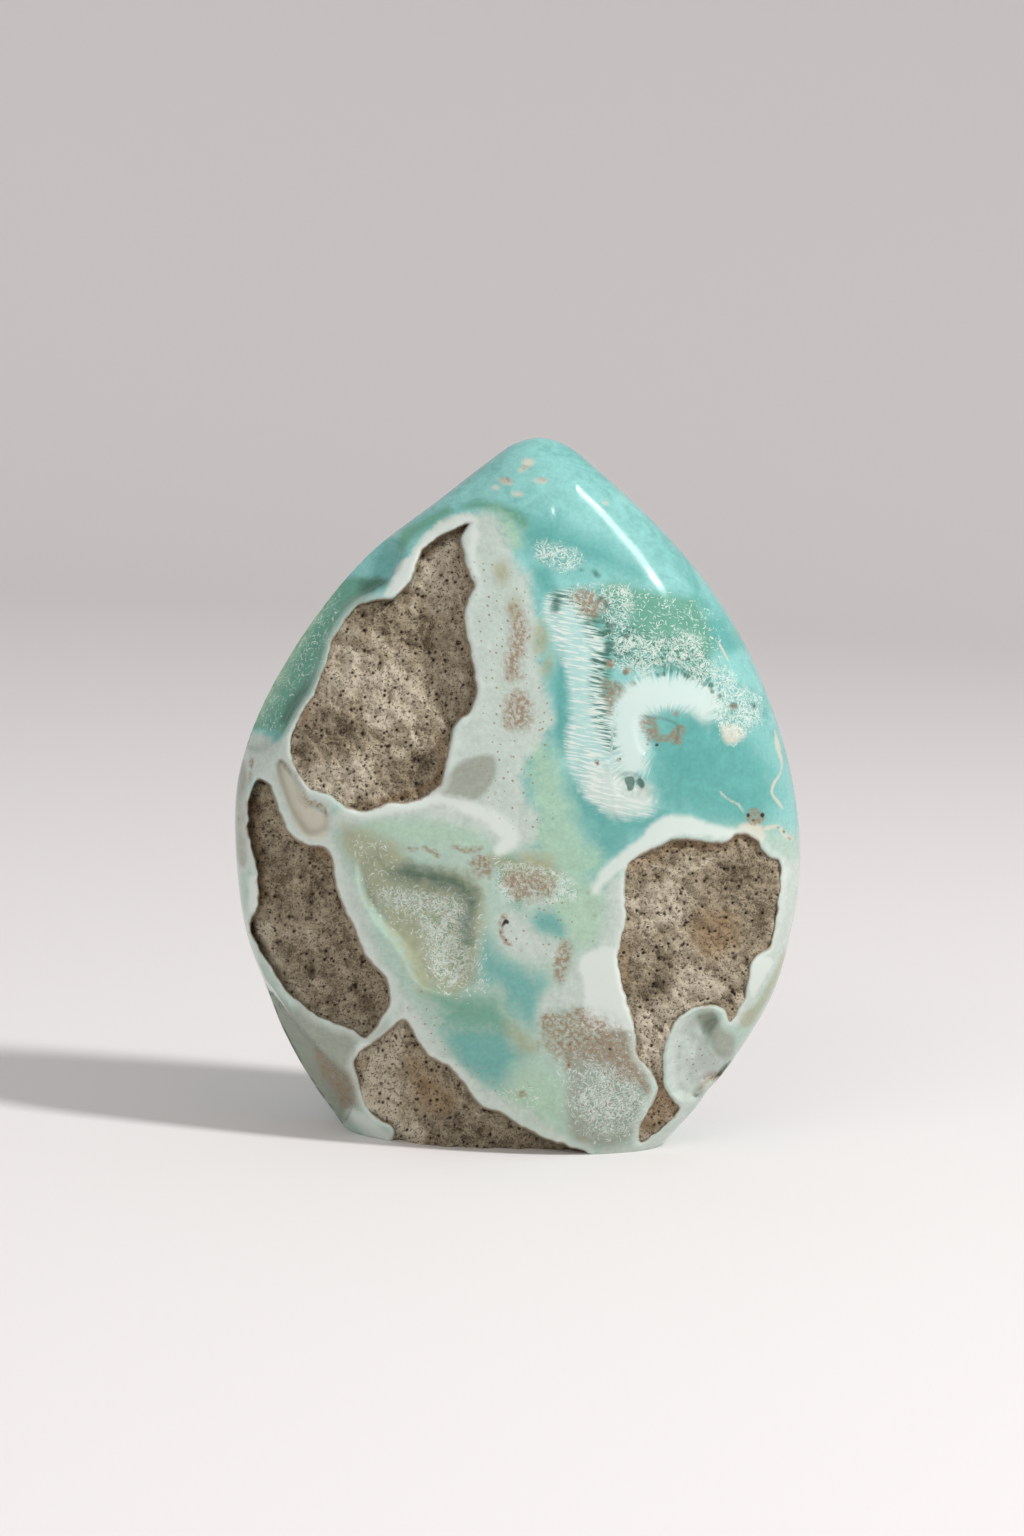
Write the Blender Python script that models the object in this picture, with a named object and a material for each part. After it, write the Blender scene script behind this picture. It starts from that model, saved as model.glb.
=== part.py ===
"""A polished upright flame carved from one piece of blue aragonite.

The polished skin is a pillow-shaped form with a rounded tip and a flat foot. The rough brown matrix
shows in sunken windows, and smooth hollows run down both edges of the left side.
Outlines are written in millimetres as an eye in front of the stone sees them, u to the right and v up,
and are carried back onto the stone along that eye's lines of sight.
"""
import math
import random

import bmesh
import bpy
import numpy as np
from mathutils import Vector, geometry, noise

# Lengths are in millimetres until a mesh is made.
MM = 0.001
FRONT_DEPTH = 18.4
BACK_DEPTH = 17.6
TIP_THINNING = 5.4
FORM_POWER = 2.4
FORM_CENTRE = (0.0, 44.0)
BODY_SUBDIVISIONS = 4
FLOOR_STEP = 1.3
SCOOP_SLOPE = 1.15
TIP_CROWDING = 0.4
FOOT_WIDTH = 120.0

# The eye that the outlines are laid out for.
EYE_DISTANCE = 568.9
EYE_TILT = math.radians(7.0)
EYE_AXIS_U = -1.18
EYE_AXIS_V = 49.81
FOOT_V = 1.0
EYE = (
    EYE_AXIS_U,
    (EYE_AXIS_V - FOOT_V) * math.sin(EYE_TILT) - EYE_DISTANCE * math.cos(EYE_TILT),
    (EYE_AXIS_V - FOOT_V) * math.cos(EYE_TILT) + EYE_DISTANCE * math.sin(EYE_TILT),
)

# The edge of the whole stone, clockwise from the tip. The lowest points lie under the flat foot.
STONE_EDGE = [
    (0.0, 94.0), (2.6, 93.6), (5.0, 92.4), (7.6, 90.4), (12.5, 86.5), (18.0, 81.6), (24.0, 75.1),
    (28.9, 68.0), (32.9, 60.0), (35.8, 52.0), (37.5, 44.0), (37.9, 37.0), (37.2, 30.5), (35.6, 23.0),
    (32.6, 16.5), (28.4, 9.8), (23.6, 3.4), (18.2, -2.0), (10.0, -7.6), (0.0, -10.0), (-10.0, -7.8),
    (-17.0, -2.6), (-20.9, 1.2), (-25.8, 7.3), (-29.5, 13.2), (-32.2, 19.0), (-35.1, 25.5), (-36.8, 33.0),
    (-37.7, 42.0), (-37.1, 49.0), (-34.2, 57.8), (-28.6, 68.2), (-21.7, 77.3), (-13.0, 84.9),
    (-5.1, 91.7), (-2.6, 93.3),
]

UPPER_WINDOW = [
    (-8.7, 82.1), (-9.6, 80.0), (-8.4, 75.5), (-7.6, 73.8), (-8.5, 71.0), (-8.4, 68.0), (-7.0, 63.0),
    (-6.4, 58.9), (-7.4, 56.8), (-9.3, 54.6), (-10.0, 49.0), (-11.5, 46.2), (-14.0, 44.6), (-18.0, 44.0),
    (-20.8, 42.7), (-25.0, 44.6), (-28.3, 46.0), (-30.2, 48.5), (-30.9, 51.8), (-29.6, 55.4),
    (-28.0, 58.6), (-26.7, 62.6), (-25.7, 66.2), (-23.6, 69.5), (-21.3, 71.1), (-18.6, 71.5),
    (-16.2, 73.8), (-15.4, 76.6), (-13.6, 79.4),
]
LEFT_WINDOW = [
    (-35.2, 46.2), (-33.3, 46.0), (-32.0, 42.8), (-29.6, 38.9), (-25.8, 37.9), (-24.3, 35.7),
    (-23.5, 32.4), (-21.2, 27.7), (-19.4, 24.1), (-17.2, 21.7), (-15.7, 19.0), (-16.0, 17.0),
    (-18.5, 12.9), (-20.6, 13.8), (-24.3, 15.0), (-28.2, 17.3), (-32.2, 22.0), (-34.9, 26.7),
    (-34.0, 30.0), (-34.3, 33.7), (-35.5, 38.0), (-36.1, 42.0),
]
LOWER_WINDOW = [
    (-13.5, 15.4), (-10.7, 11.6), (-6.4, 8.8), (-2.9, 4.9), (0.2, 3.7), (2.8, 2.3), (6.5, 0.7),
    (12.1, -1.2), (13.0, -5.5), (-14.0, -5.5), (-14.2, 0.6), (-17.2, 2.6), (-18.9, 5.8), (-19.9, 9.8),
    (-16.8, 12.9),
]
RIGHT_WINDOW = [
    (14.9, 37.5), (19.6, 40.8), (21.8, 41.6), (27.3, 41.4), (29.4, 42.6), (31.7, 42.2), (33.6, 39.9),
    (35.2, 39.2), (35.3, 34.0), (34.5, 28.4), (32.2, 25.8), (31.4, 20.9), (29.8, 17.6), (28.7, 19.3),
    (26.2, 19.6), (22.8, 17.9), (21.2, 13.4), (21.6, 8.4), (23.6, 6.0), (22.4, 3.9), (18.9, 1.0),
    (18.5, 3.2), (20.3, 6.7), (20.2, 9.4), (17.6, 12.8), (16.9, 16.1), (15.6, 20.4), (14.4, 24.4),
    (15.1, 30.6),
]
CREAM_RECESS = [
    (23.3, 17.2), (26.2, 19.0), (28.3, 18.0), (27.2, 14.2), (30.2, 12.6), (32.6, 10.6), (29.6, 7.6),
    (28.3, 9.3), (26.6, 8.8), (26.3, 7.2), (24.0, 7.0), (22.3, 8.6), (22.0, 13.4),
]
EDGE_NOTCH = [(27.4, 9.9), (29.0, 8.4), (28.6, 5.6), (26.8, 6.0), (26.3, 8.6)]
CREAM_CHANNEL = [
    (-32.4, 49.2), (-31.4, 49.2), (-29.6, 46.6), (-28.4, 43.9), (-26.5, 43.5), (-25.2, 42.0),
    (-25.4, 40.2), (-27.8, 39.4), (-29.7, 41.4), (-31.4, 44.6), (-32.6, 47.8),
]
CRYSTAL_HOLLOW = [
    (-16.2, 35.9), (-12.0, 35.5), (-7.8, 34.9), (-6.0, 33.6), (-5.1, 32.0), (-5.3, 25.0), (-4.6, 21.4),
    (-8.0, 19.4), (-12.2, 20.8), (-14.2, 24.4), (-18.0, 28.4), (-20.0, 32.0), (-20.6, 36.0), (-18.4, 37.8),
]
UPPER_SIDE_HOLLOW = [
    (-17.4, 78.9), (-17.5, 76.2), (-18.6, 74.2), (-20.6, 72.4), (-22.8, 71.3), (-24.6, 69.6),
    (-26.4, 66.4), (-27.4, 62.8), (-28.7, 58.9), (-30.4, 55.8), (-32.2, 52.2), (-34.5, 50.2),
    (-37.8, 50.6), (-38.6, 53.4), (-36.0, 59.0), (-32.6, 65.0), (-28.8, 70.6), (-25.0, 75.6),
    (-20.6, 79.4),
]
LOWER_SIDE_HOLLOW = [
    (-32.4, 19.6), (-28.2, 14.6), (-22.9, 9.4), (-20.6, 7.4), (-19.6, 5.0), (-20.6, 1.4), (-22.6, 1.0),
    (-26.8, 5.4), (-30.8, 12.0), (-34.0, 17.8),
]
LOBED_HOLE = [(12.9, 49.4), (14.5, 49.9), (15.9, 49.4), (16.1, 47.9), (14.9, 48.2), (13.3, 47.2), (12.8, 48.2)]
BROWN_PIT = [(15.2, 57.2), (17.2, 57.5), (20.4, 56.7), (20.0, 54.2), (17.6, 53.0), (15.8, 53.4)]

# The windows of the back, as an eye behind the stone sees them.
BACK_UPPER_WINDOW = [
    (-2.0, 70.0), (5.0, 72.0), (11.5, 67.5), (16.0, 60.0), (14.5, 53.0), (8.0, 49.5), (1.0, 52.0),
    (-4.5, 57.5), (-6.0, 64.0),
]
BACK_LOWER_WINDOW = [
    (-22.0, 30.0), (-16.0, 33.5), (-9.0, 30.0), (-6.5, 23.5), (-9.5, 15.0), (-15.0, 10.5), (-20.5, 14.0),
    (-24.5, 21.5),
]


def smooth_step(low, high, value):
    """0 up to low, 1 from high, and a soft curve between them."""
    share = np.clip((np.asarray(value, float) - low) / (high - low), 0.0, 1.0)
    return share * share * (3.0 - 2.0 * share)


def to_part(u, v, y):
    """The x and z of the stone at depth y that the eye sees at (u, v)."""
    rise = v - FOOT_V
    share = (y - EYE[1]) / (rise * math.sin(EYE_TILT) - EYE[1])
    x = EYE[0] + share * (u - EYE[0])
    z = EYE[2] + share * (rise * math.cos(EYE_TILT) - EYE[2])
    return x, z


def through_points(points, step):
    """A smooth closed line through the points, with a point about every step along it."""
    found = []
    count = len(points)
    for i in range(count):
        p0, p1, p2, p3 = (np.array(points[(i + k - 1) % count], float) for k in range(4))
        pieces = max(1, round(float(np.linalg.norm(p2 - p1)) / step))
        for k in range(pieces):
            t = k / pieces
            bend = (2 * p0 - 5 * p1 + 4 * p2 - p3) * t * t + (3 * p1 - p0 - 3 * p2 + p3) * t ** 3
            found.append(0.5 * (2 * p1 + (p2 - p0) * t + bend))
    return np.array(found)


def edge_radius_table():
    """The stone's edge round the form's centre, as sorted angles and radii."""
    line = through_points(STONE_EDGE, 0.5)
    x, z = to_part(line[:, 0], line[:, 1], 0.0)
    angle = np.arctan2(z - FORM_CENTRE[1], x - FORM_CENTRE[0])
    radius = np.hypot(x - FORM_CENTRE[0], z - FORM_CENTRE[1])
    order = np.argsort(angle)
    return angle[order], radius[order], (x.min() + x.max()) / 2


EDGE_ANGLE, EDGE_RADIUS, MIDDLE_X = edge_radius_table()
MIDDLE_Y = (BACK_DEPTH - FRONT_DEPTH) / 2


def edge_radius(angle):
    return np.interp(angle, EDGE_ANGLE, EDGE_RADIUS, period=2 * math.pi)


def half_depth(x, z, front):
    """The form's depth on its centre line at this height, with the swells that hand polishing leaves."""
    depth = np.where(front, FRONT_DEPTH, BACK_DEPTH) - TIP_THINNING * smooth_step(40.0, 92.0, z)
    swell = 0.35 * np.sin(x / 9.0 + 1.3) * np.cos(z / 11.0 - 0.4) + 0.2 * np.sin(x / 5.5 - z / 8.0)
    return depth + swell


def edge_share(x, z):
    """How far out (x, z) lies from the form's centre, 1 at the stone's edge."""
    away = math.hypot(x - FORM_CENTRE[0], z - FORM_CENTRE[1])
    return away / float(edge_radius(math.atan2(z - FORM_CENTRE[1], x - FORM_CENTRE[0])))


def skin_y(x, z, front):
    """The depth of the polished skin, negative at the front."""
    rise = math.sqrt(max(0.0, 1.0 - edge_share(x, z) ** FORM_POWER))
    depth = float(half_depth(x, z, front)) * rise
    return -depth if front else depth


def scoop_y(x, z, front):
    """A straight fall from the inside of a side hollow to the middle of the stone's edge."""
    gap = (1.0 - edge_share(x, z)) * float(edge_radius(math.atan2(z - FORM_CENTRE[1], x - FORM_CENTRE[0])))
    return -SCOOP_SLOPE * gap


def rough(u, v, size, seed):
    """Broken lumps about this size, from -1 to 1."""
    here = Vector((u / size, v / size, seed * 7.3))
    cells, _ = noise.voronoi(here)
    return noise.noise(here * 0.7) + 0.9 * (cells[1] - cells[0]) - 0.45


def line_distance(u, v, start, end):
    """Signed distance to the line through start and end, positive on its right."""
    length = math.hypot(end[0] - start[0], end[1] - start[1])
    return ((u - start[0]) * (end[1] - start[1]) - (v - start[1]) * (end[0] - start[0])) / length


def upper_floor(u, v):
    """Shallow along the left ridge, deep under the right wall, with a diagonal step across it."""
    depth = 0.7 + 2.1 * float(smooth_step(-27.0, -9.0, u))
    step = line_distance(u, v, (-21.5, 67.0), (-13.0, 58.5))
    depth += 0.9 * float(smooth_step(1.0, -0.6, step)) * float(smooth_step(-24.0, -19.0, u))
    depth += 0.8 * math.exp(-((u + 24.3) ** 2 + (v - 53.6) ** 2) / 8.0)
    return depth + 0.5 * rough(u, v, 3.4, 1) + 0.3 * rough(u, v, 1.7, 2)


def left_floor(u, v):
    """Level with the pale rim at the left, and deep under the right wall."""
    wall = line_distance(u, v, (-24.5, 37.0), (-15.5, 18.5))
    depth = 1.0 + 2.2 * float(smooth_step(-11.0, -1.5, wall))
    depth -= 0.5 * float(smooth_step(22.0, 15.0, v))
    return depth + 0.4 * rough(u, v, 3.6, 3) + 0.28 * rough(u, v, 1.8, 4)


def lower_floor(u, v):
    """Deep under the slanting upper wall, with a rounded knob left standing at its upper left."""
    wall = line_distance(u, v, (-11.0, 11.8), (6.5, 0.8))
    depth = 1.0 + 2.4 * float(smooth_step(10.0, 1.5, wall))
    depth -= 1.3 * math.exp(-((u + 18.4) ** 2 + (v - 10.9) ** 2) / 3.0)
    return depth + 0.5 * rough(u, v, 3.2, 5) + 0.3 * rough(u, v, 1.7, 6)


def right_floor(u, v):
    """A low broken face, a little deeper under its top edge."""
    depth = 0.75 + 0.5 * float(smooth_step(36.0, 41.0, v))
    return depth + 0.3 * rough(u, v, 3.6, 7) + 0.2 * rough(u, v, 1.8, 8)


def cream_recess_floor(u, v):
    """A smooth bowl that steepens towards the stone's edge."""
    return 1.4 + 0.9 * float(smooth_step(25.0, 29.0, u)) + 0.12 * rough(u, v, 4.0, 9)


def channel_floor(u, v):
    """A scoop, deepest under its upper right wall."""
    wall = line_distance(u, v, (-31.0, 49.0), (-25.0, 41.0))
    return 0.7 + 0.9 * float(smooth_step(-4.0, -0.8, wall))


def crystal_floor(u, v):
    """Crusted with small crystals, sunken under its upper right wall and shallow at its lower left."""
    wall = line_distance(u, v, (-7.0, 35.5), (-3.5, 20.0))
    depth = 0.35 + 1.1 * float(smooth_step(-11.0, -1.0, wall)) * float(smooth_step(19.0, 27.0, v))
    depth += 0.5 * float(smooth_step(31.0, 34.5, v)) * float(smooth_step(-19.0, -15.0, u))
    return depth + 0.16 * rough(u, v, 1.5, 10)


def side_floor(u, v):
    """Smooth, with slow swells."""
    return 0.3 * noise.noise(Vector((u / 5.0, v / 5.0, 3.1)))


def back_upper_floor(u, v):
    return 1.3 + 0.5 * rough(u, v, 3.4, 11) + 0.2 * rough(u, v, 1.6, 12)


def back_lower_floor(u, v):
    return 1.1 + 0.45 * rough(u, v, 3.4, 13) + 0.2 * rough(u, v, 1.6, 14)


def clear_scene():
    for obj in list(bpy.data.objects):
        bpy.data.objects.remove(obj, do_unlink=True)


def new_collection(name):
    collection = bpy.data.collections.new(name)
    bpy.context.scene.collection.children.link(collection)
    return collection


def stone_material():
    material = bpy.data.materials.new("blue_aragonite")
    material.use_nodes = True
    shader = material.node_tree.nodes["Principled BSDF"]
    shader.inputs["Base Color"].default_value = (0.21, 0.47, 0.43, 1.0)
    shader.inputs["Roughness"].default_value = 0.18
    shader.inputs["Metallic"].default_value = 0.0
    return material


def matrix_material():
    material = bpy.data.materials.new("rough_matrix")
    material.use_nodes = True
    shader = material.node_tree.nodes["Principled BSDF"]
    shader.inputs["Base Color"].default_value = (0.27, 0.22, 0.16, 1.0)
    shader.inputs["Roughness"].default_value = 0.85
    shader.inputs["Metallic"].default_value = 0.0
    return material


def placed(x, y, z):
    """A point of the form, moved so that the finished stone stands centred on the origin."""
    return Vector(((x - MIDDLE_X) * MM, (y - MIDDLE_Y) * MM, z * MM))


def add_object(name, bm, collection, material):
    mesh = bpy.data.meshes.new(name)
    bm.to_mesh(mesh)
    bm.free()
    mesh.materials.append(material)
    obj = bpy.data.objects.new(name, mesh)
    collection.objects.link(obj)
    return obj


def add_form(name, collection, material):
    """The whole polished form: a ball drawn out to the edge line and pressed to the skin's depth.

    Its points are crowded towards the tip, where the form turns most sharply.
    """
    bm = bmesh.new()
    bmesh.ops.create_icosphere(bm, subdivisions=BODY_SUBDIVISIONS, radius=1.0)
    for vert in bm.verts:
        nx, ny, nz = vert.co
        angle = math.atan2(nz, nx)
        angle += TIP_CROWDING * math.cos(angle)
        share = min(1.0, math.hypot(nx, nz)) ** (2.0 / FORM_POWER)
        reach = share * float(edge_radius(angle))
        x = FORM_CENTRE[0] + reach * math.cos(angle)
        z = FORM_CENTRE[1] + reach * math.sin(angle)
        y = float(half_depth(x, z, ny < 0.0)) * ny
        vert.co = placed(x, y, z)
    bmesh.ops.recalc_face_normals(bm, faces=bm.faces)
    return add_object(name, bm, collection, material)


def inside(line, u, v):
    """Whether (u, v) lies inside a closed line."""
    hit = False
    for (u1, v1), (u2, v2) in zip(line, np.roll(line, -1, axis=0)):
        if (v1 > v) != (v2 > v) and u < (u2 - u1) * (v - v1) / (v2 - v1) + u1:
            hit = not hit
    return hit


def edge_distance(line, u, v):
    ends = np.roll(line, -1, axis=0)
    along = ends - line
    share = ((np.array((u, v)) - line) * along).sum(axis=1) / (along ** 2).sum(axis=1)
    near = line + along * np.clip(share, 0.0, 1.0)[:, None]
    return float(np.hypot(near[:, 0] - u, near[:, 1] - v).min())


def floor_points(line, step, dice):
    """Loosely spaced points inside a closed line."""
    found = []
    low = line.min(axis=0)
    high = line.max(axis=0)
    rows = int((high[1] - low[1]) / (step * 0.87)) + 1
    columns = int((high[0] - low[0]) / step) + 1
    for row in range(rows):
        for column in range(columns):
            u = low[0] + (column + 0.5 * (row % 2)) * step + dice.uniform(-0.3, 0.3) * step
            v = low[1] + row * step * 0.87 + dice.uniform(-0.3, 0.3) * step
            if inside(line, u, v) and edge_distance(line, u, v) > 0.5 * step:
                found.append((u, v))
    return found


def add_cutter(name, outline, floor, collection, material, step=FLOOR_STEP, front=True, level=skin_y):
    """A block with this outline, from well outside the stone down to a floor under the level given."""
    line = through_points(outline, step)
    points = [tuple(p) for p in line] + floor_points(line, step, random.Random(len(outline)))
    ring = list(range(len(line)))
    rim = [(a, (a + 1) % len(line)) for a in ring]
    flat, _, faces, *_ = geometry.delaunay_2d_cdt([Vector(p) for p in points], rim, [ring], 1, 1e-5)
    bm = bmesh.new()
    verts = [bm.verts.new((u, 0.0, v)) for u, v in flat]
    for face in faces:
        bm.faces.new([verts[i] for i in face])
    made = bmesh.ops.extrude_face_region(bm, geom=list(bm.faces), use_keep_orig=True)
    outer = {item for item in made["geom"] if isinstance(item, bmesh.types.BMVert)}
    side = -1.0 if front else 1.0
    for vert in bm.verts:
        u, _, v = vert.co
        y = side * (FRONT_DEPTH + 12.0)
        x, z = to_part(u, v, y) if front else (-u, v)
        if vert not in outer:
            for _ in range(6):
                y = level(x, z, front) - side * floor(u, v)
                x, z = to_part(u, v, y) if front else (-u, v)
        vert.co = placed(x, y, z)
    bmesh.ops.recalc_face_normals(bm, faces=bm.faces)
    obj = add_object(name, bm, collection, material)
    obj.hide_render = True
    obj.display_type = "WIRE"
    return obj


def add_foot_cutter(collection, material):
    bm = bmesh.new()
    bmesh.ops.create_cube(bm, size=FOOT_WIDTH * MM)
    bmesh.ops.translate(bm, verts=bm.verts, vec=(0.0, 0.0, -0.5 * FOOT_WIDTH * MM))
    obj = add_object("foot_cutter", bm, collection, material)
    obj.hide_render = True
    obj.display_type = "WIRE"
    return obj


def cut(stone, cutter):
    modifier = stone.modifiers.new(cutter.name, "BOOLEAN")
    modifier.operation = "DIFFERENCE"
    modifier.solver = "EXACT"
    modifier.object = cutter


def main():
    clear_scene()
    parts = new_collection("aragonite_flame")
    cutters = new_collection("cutters")
    polished = stone_material()
    matrix = matrix_material()
    stone = add_form("aragonite_flame", parts, polished)
    stone.data.materials.append(matrix)
    recesses = [
        add_foot_cutter(cutters, polished),
        add_cutter("upper_side_hollow", UPPER_SIDE_HOLLOW, side_floor, cutters, polished, level=scoop_y),
        add_cutter("lower_side_hollow", LOWER_SIDE_HOLLOW, side_floor, cutters, polished, level=scoop_y),
        add_cutter("upper_window", UPPER_WINDOW, upper_floor, cutters, matrix),
        add_cutter("left_window", LEFT_WINDOW, left_floor, cutters, matrix),
        add_cutter("lower_window", LOWER_WINDOW, lower_floor, cutters, matrix),
        add_cutter("right_window", RIGHT_WINDOW, right_floor, cutters, matrix),
        add_cutter("cream_recess", CREAM_RECESS, cream_recess_floor, cutters, polished),
        add_cutter("edge_notch", EDGE_NOTCH, lambda u, v: 14.0, cutters, polished, 1.2),
        add_cutter("cream_channel", CREAM_CHANNEL, channel_floor, cutters, polished, 1.3),
        add_cutter("crystal_hollow", CRYSTAL_HOLLOW, crystal_floor, cutters, polished, 1.1),
        add_cutter("lobed_hole", LOBED_HOLE, lambda u, v: 2.2, cutters, matrix, 1.0),
        add_cutter("brown_pit", BROWN_PIT, lambda u, v: 0.6, cutters, matrix, 1.4),
        add_cutter("back_upper", BACK_UPPER_WINDOW, back_upper_floor, cutters, matrix, front=False),
        add_cutter("back_lower", BACK_LOWER_WINDOW, back_lower_floor, cutters, matrix, front=False),
    ]
    for cutter in recesses:
        cut(stone, cutter)


main()
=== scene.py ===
"""A polished upright flame of blue aragonite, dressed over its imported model.

Lengths are in millimetres until a mesh is made. Outlines and markings are written as an eye in front of the
stone sees them, u to the right and v up, and are carried onto the stone along that eye's lines of sight.
"""
import math

import bmesh
import bpy
import numpy as np
from bpy.props import FloatProperty, FloatVectorProperty, PointerProperty
from mathutils import Matrix, Vector, geometry, noise


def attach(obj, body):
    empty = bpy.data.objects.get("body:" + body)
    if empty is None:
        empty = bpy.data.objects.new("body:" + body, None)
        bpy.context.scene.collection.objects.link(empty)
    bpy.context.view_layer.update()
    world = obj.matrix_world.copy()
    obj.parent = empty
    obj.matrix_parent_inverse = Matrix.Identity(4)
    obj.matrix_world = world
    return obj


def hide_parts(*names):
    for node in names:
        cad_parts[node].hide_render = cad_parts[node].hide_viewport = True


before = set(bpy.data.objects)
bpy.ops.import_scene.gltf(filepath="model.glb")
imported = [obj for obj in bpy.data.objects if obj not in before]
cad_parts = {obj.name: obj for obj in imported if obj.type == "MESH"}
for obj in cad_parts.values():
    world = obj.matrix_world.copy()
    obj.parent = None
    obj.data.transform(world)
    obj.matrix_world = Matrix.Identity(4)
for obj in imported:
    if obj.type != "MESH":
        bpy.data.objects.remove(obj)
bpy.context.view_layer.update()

bl_info = {
    "name": "Blue Aragonite Flame",
    "version": (1, 0, 0),
    "blender": (4, 5, 0),
    "location": "View3D > Sidebar > Flame",
    "description": "Builds a polished aragonite flame with rough matrix windows, and a plain studio round it",
    "category": "Object",
}

# The polished form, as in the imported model.
MM = 0.001
FRONT_DEPTH = 18.4
BACK_DEPTH = 17.6
TIP_THINNING = 5.4
FORM_POWER = 2.4
FORM_CENTRE = (0.0, 44.0)
SCOOP_SLOPE = 1.15
EYE_DISTANCE = 568.9
EYE_TILT = math.radians(7.0)
EYE_ROLL = math.radians(3.2)
EYE_AXIS_U = -1.18
EYE_AXIS_V = 49.81
FOOT_V = 1.0
EYE = (
    EYE_AXIS_U,
    (EYE_AXIS_V - FOOT_V) * math.sin(EYE_TILT) - EYE_DISTANCE * math.cos(EYE_TILT),
    (EYE_AXIS_V - FOOT_V) * math.cos(EYE_TILT) + EYE_DISTANCE * math.sin(EYE_TILT),
)


def rows(text):
    """Rows of numbers from a text such as "1.2,3.4 5.6,7.8"."""
    return [tuple(float(number) for number in row.split(",")) for row in text.split()]


# The edge of the whole stone, clockwise from the tip. The lowest points lie under the flat foot.
STONE_EDGE = rows("""
    0,94 2.6,93.6 5,92.4 7.6,90.4 12.5,86.5 18,81.6 24,75.1 28.9,68 32.9,60 35.8,52 37.5,44 37.9,37
    37.2,30.5 35.6,23 32.6,16.5 28.4,9.8 23.6,3.4 18.2,-2 10,-7.6 0,-10 -10,-7.8 -17,-2.6 -20.9,1.2
    -25.8,7.3 -29.5,13.2 -32.2,19 -35.1,25.5 -36.8,33 -37.7,42 -37.1,49 -34.2,57.8 -28.6,68.2 -21.7,77.3
    -13,84.9 -5.1,91.7 -2.6,93.3
""")
UPPER_WINDOW = rows("""
    -8.7,82.1 -9.6,80 -8.4,75.5 -7.6,73.8 -8.5,71 -8.4,68 -7,63 -6.4,58.9 -7.4,56.8 -9.3,54.6 -10,49
    -11.5,46.2 -14,44.6 -18,44 -20.8,42.7 -25,44.6 -28.3,46 -30.2,48.5 -30.9,51.8 -29.6,55.4 -28,58.6
    -26.7,62.6 -25.7,66.2 -23.6,69.5 -21.3,71.1 -18.6,71.5 -16.2,73.8 -15.4,76.6 -13.6,79.4
""")
LEFT_WINDOW = rows("""
    -35.2,46.2 -33.3,46 -32,42.8 -29.6,38.9 -25.8,37.9 -24.3,35.7 -23.5,32.4 -21.2,27.7 -19.4,24.1
    -17.2,21.7 -15.7,19 -16,17 -18.5,12.9 -20.6,13.8 -24.3,15 -28.2,17.3 -32.2,22 -34.9,26.7 -34,30
    -34.3,33.7 -35.5,38 -36.1,42
""")
LOWER_WINDOW = rows("""
    -13.5,15.4 -10.7,11.6 -6.4,8.8 -2.9,4.9 0.2,3.7 2.8,2.3 6.5,0.7 12.1,-1.2 13,-5.5 -14,-5.5 -14.2,0.6
    -17.2,2.6 -18.9,5.8 -19.9,9.8 -16.8,12.9
""")
RIGHT_WINDOW = rows("""
    14.9,37.5 19.6,40.8 21.8,41.6 27.3,41.4 29.4,42.6 31.7,42.2 33.6,39.9 35.2,39.2 35.3,34 34.5,28.4
    32.2,25.8 31.4,20.9 29.8,17.6 28.7,19.3 26.2,19.6 22.8,17.9 21.2,13.4 21.6,8.4 23.6,6 22.4,3.9
    18.9,1 18.5,3.2 20.3,6.7 20.2,9.4 17.6,12.8 16.9,16.1 15.6,20.4 14.4,24.4 15.1,30.6
""")
CREAM_RECESS = rows("""
    23.3,17.2 26.2,19 28.3,18 27.2,14.2 30.2,12.6 32.6,10.6 29.6,7.6 28.3,9.3 26.6,8.8 26.3,7.2 24,7
    22.3,8.6 22,13.4
""")
CREAM_CHANNEL = rows("""
    -32.4,49.2 -31.4,49.2 -29.6,46.6 -28.4,43.9 -26.5,43.5 -25.2,42 -25.4,40.2 -27.8,39.4 -29.7,41.4
    -31.4,44.6 -32.6,47.8
""")
CRYSTAL_HOLLOW = rows("""
    -16.2,35.9 -12,35.5 -7.8,34.9 -6,33.6 -5.1,32 -5.3,25 -4.6,21.4 -8,19.4 -12.2,20.8 -14.2,24.4
    -18,28.4 -20,32 -20.6,36 -18.4,37.8
""")
UPPER_SIDE_HOLLOW = rows("""
    -17.4,78.9 -17.5,76.2 -18.6,74.2 -20.6,72.4 -22.8,71.3 -24.6,69.6 -26.4,66.4 -27.4,62.8 -28.7,58.9
    -30.4,55.8 -32.2,52.2 -34.5,50.2 -37.8,50.6 -38.6,53.4 -36,59 -32.6,65 -28.8,70.6 -25,75.6
    -20.6,79.4
""")
LOWER_SIDE_HOLLOW = rows("""
    -32.4,19.6 -28.2,14.6 -22.9,9.4 -20.6,7.4 -19.6,5 -20.6,1.4 -22.6,1 -26.8,5.4 -30.8,12 -34,17.8
""")
LOBED_HOLE = rows("12.9,49.4 14.5,49.9 15.9,49.4 16.1,47.9 14.9,48.2 13.3,47.2 12.8,48.2")
BROWN_PIT = rows("15.2,57.2 17.2,57.5 20.4,56.7 20,54.2 17.6,53 15.8,53.4")
# The windows of the back, as an eye behind the stone sees them.
BACK_UPPER_WINDOW = rows("-2,70 5,72 11.5,67.5 16,60 14.5,53 8,49.5 1,52 -4.5,57.5 -6,64")
BACK_LOWER_WINDOW = rows("-22,30 -16,33.5 -9,30 -6.5,23.5 -9.5,15 -15,10.5 -20.5,14 -24.5,21.5")


def patch(soft, text):
    """A closed blot through points u,v that fades over this many millimetres."""
    return ("patch", soft, rows(text))


def band(soft, text):
    """A stroke along points u,v,half width."""
    return ("band", soft, rows(text))


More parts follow.
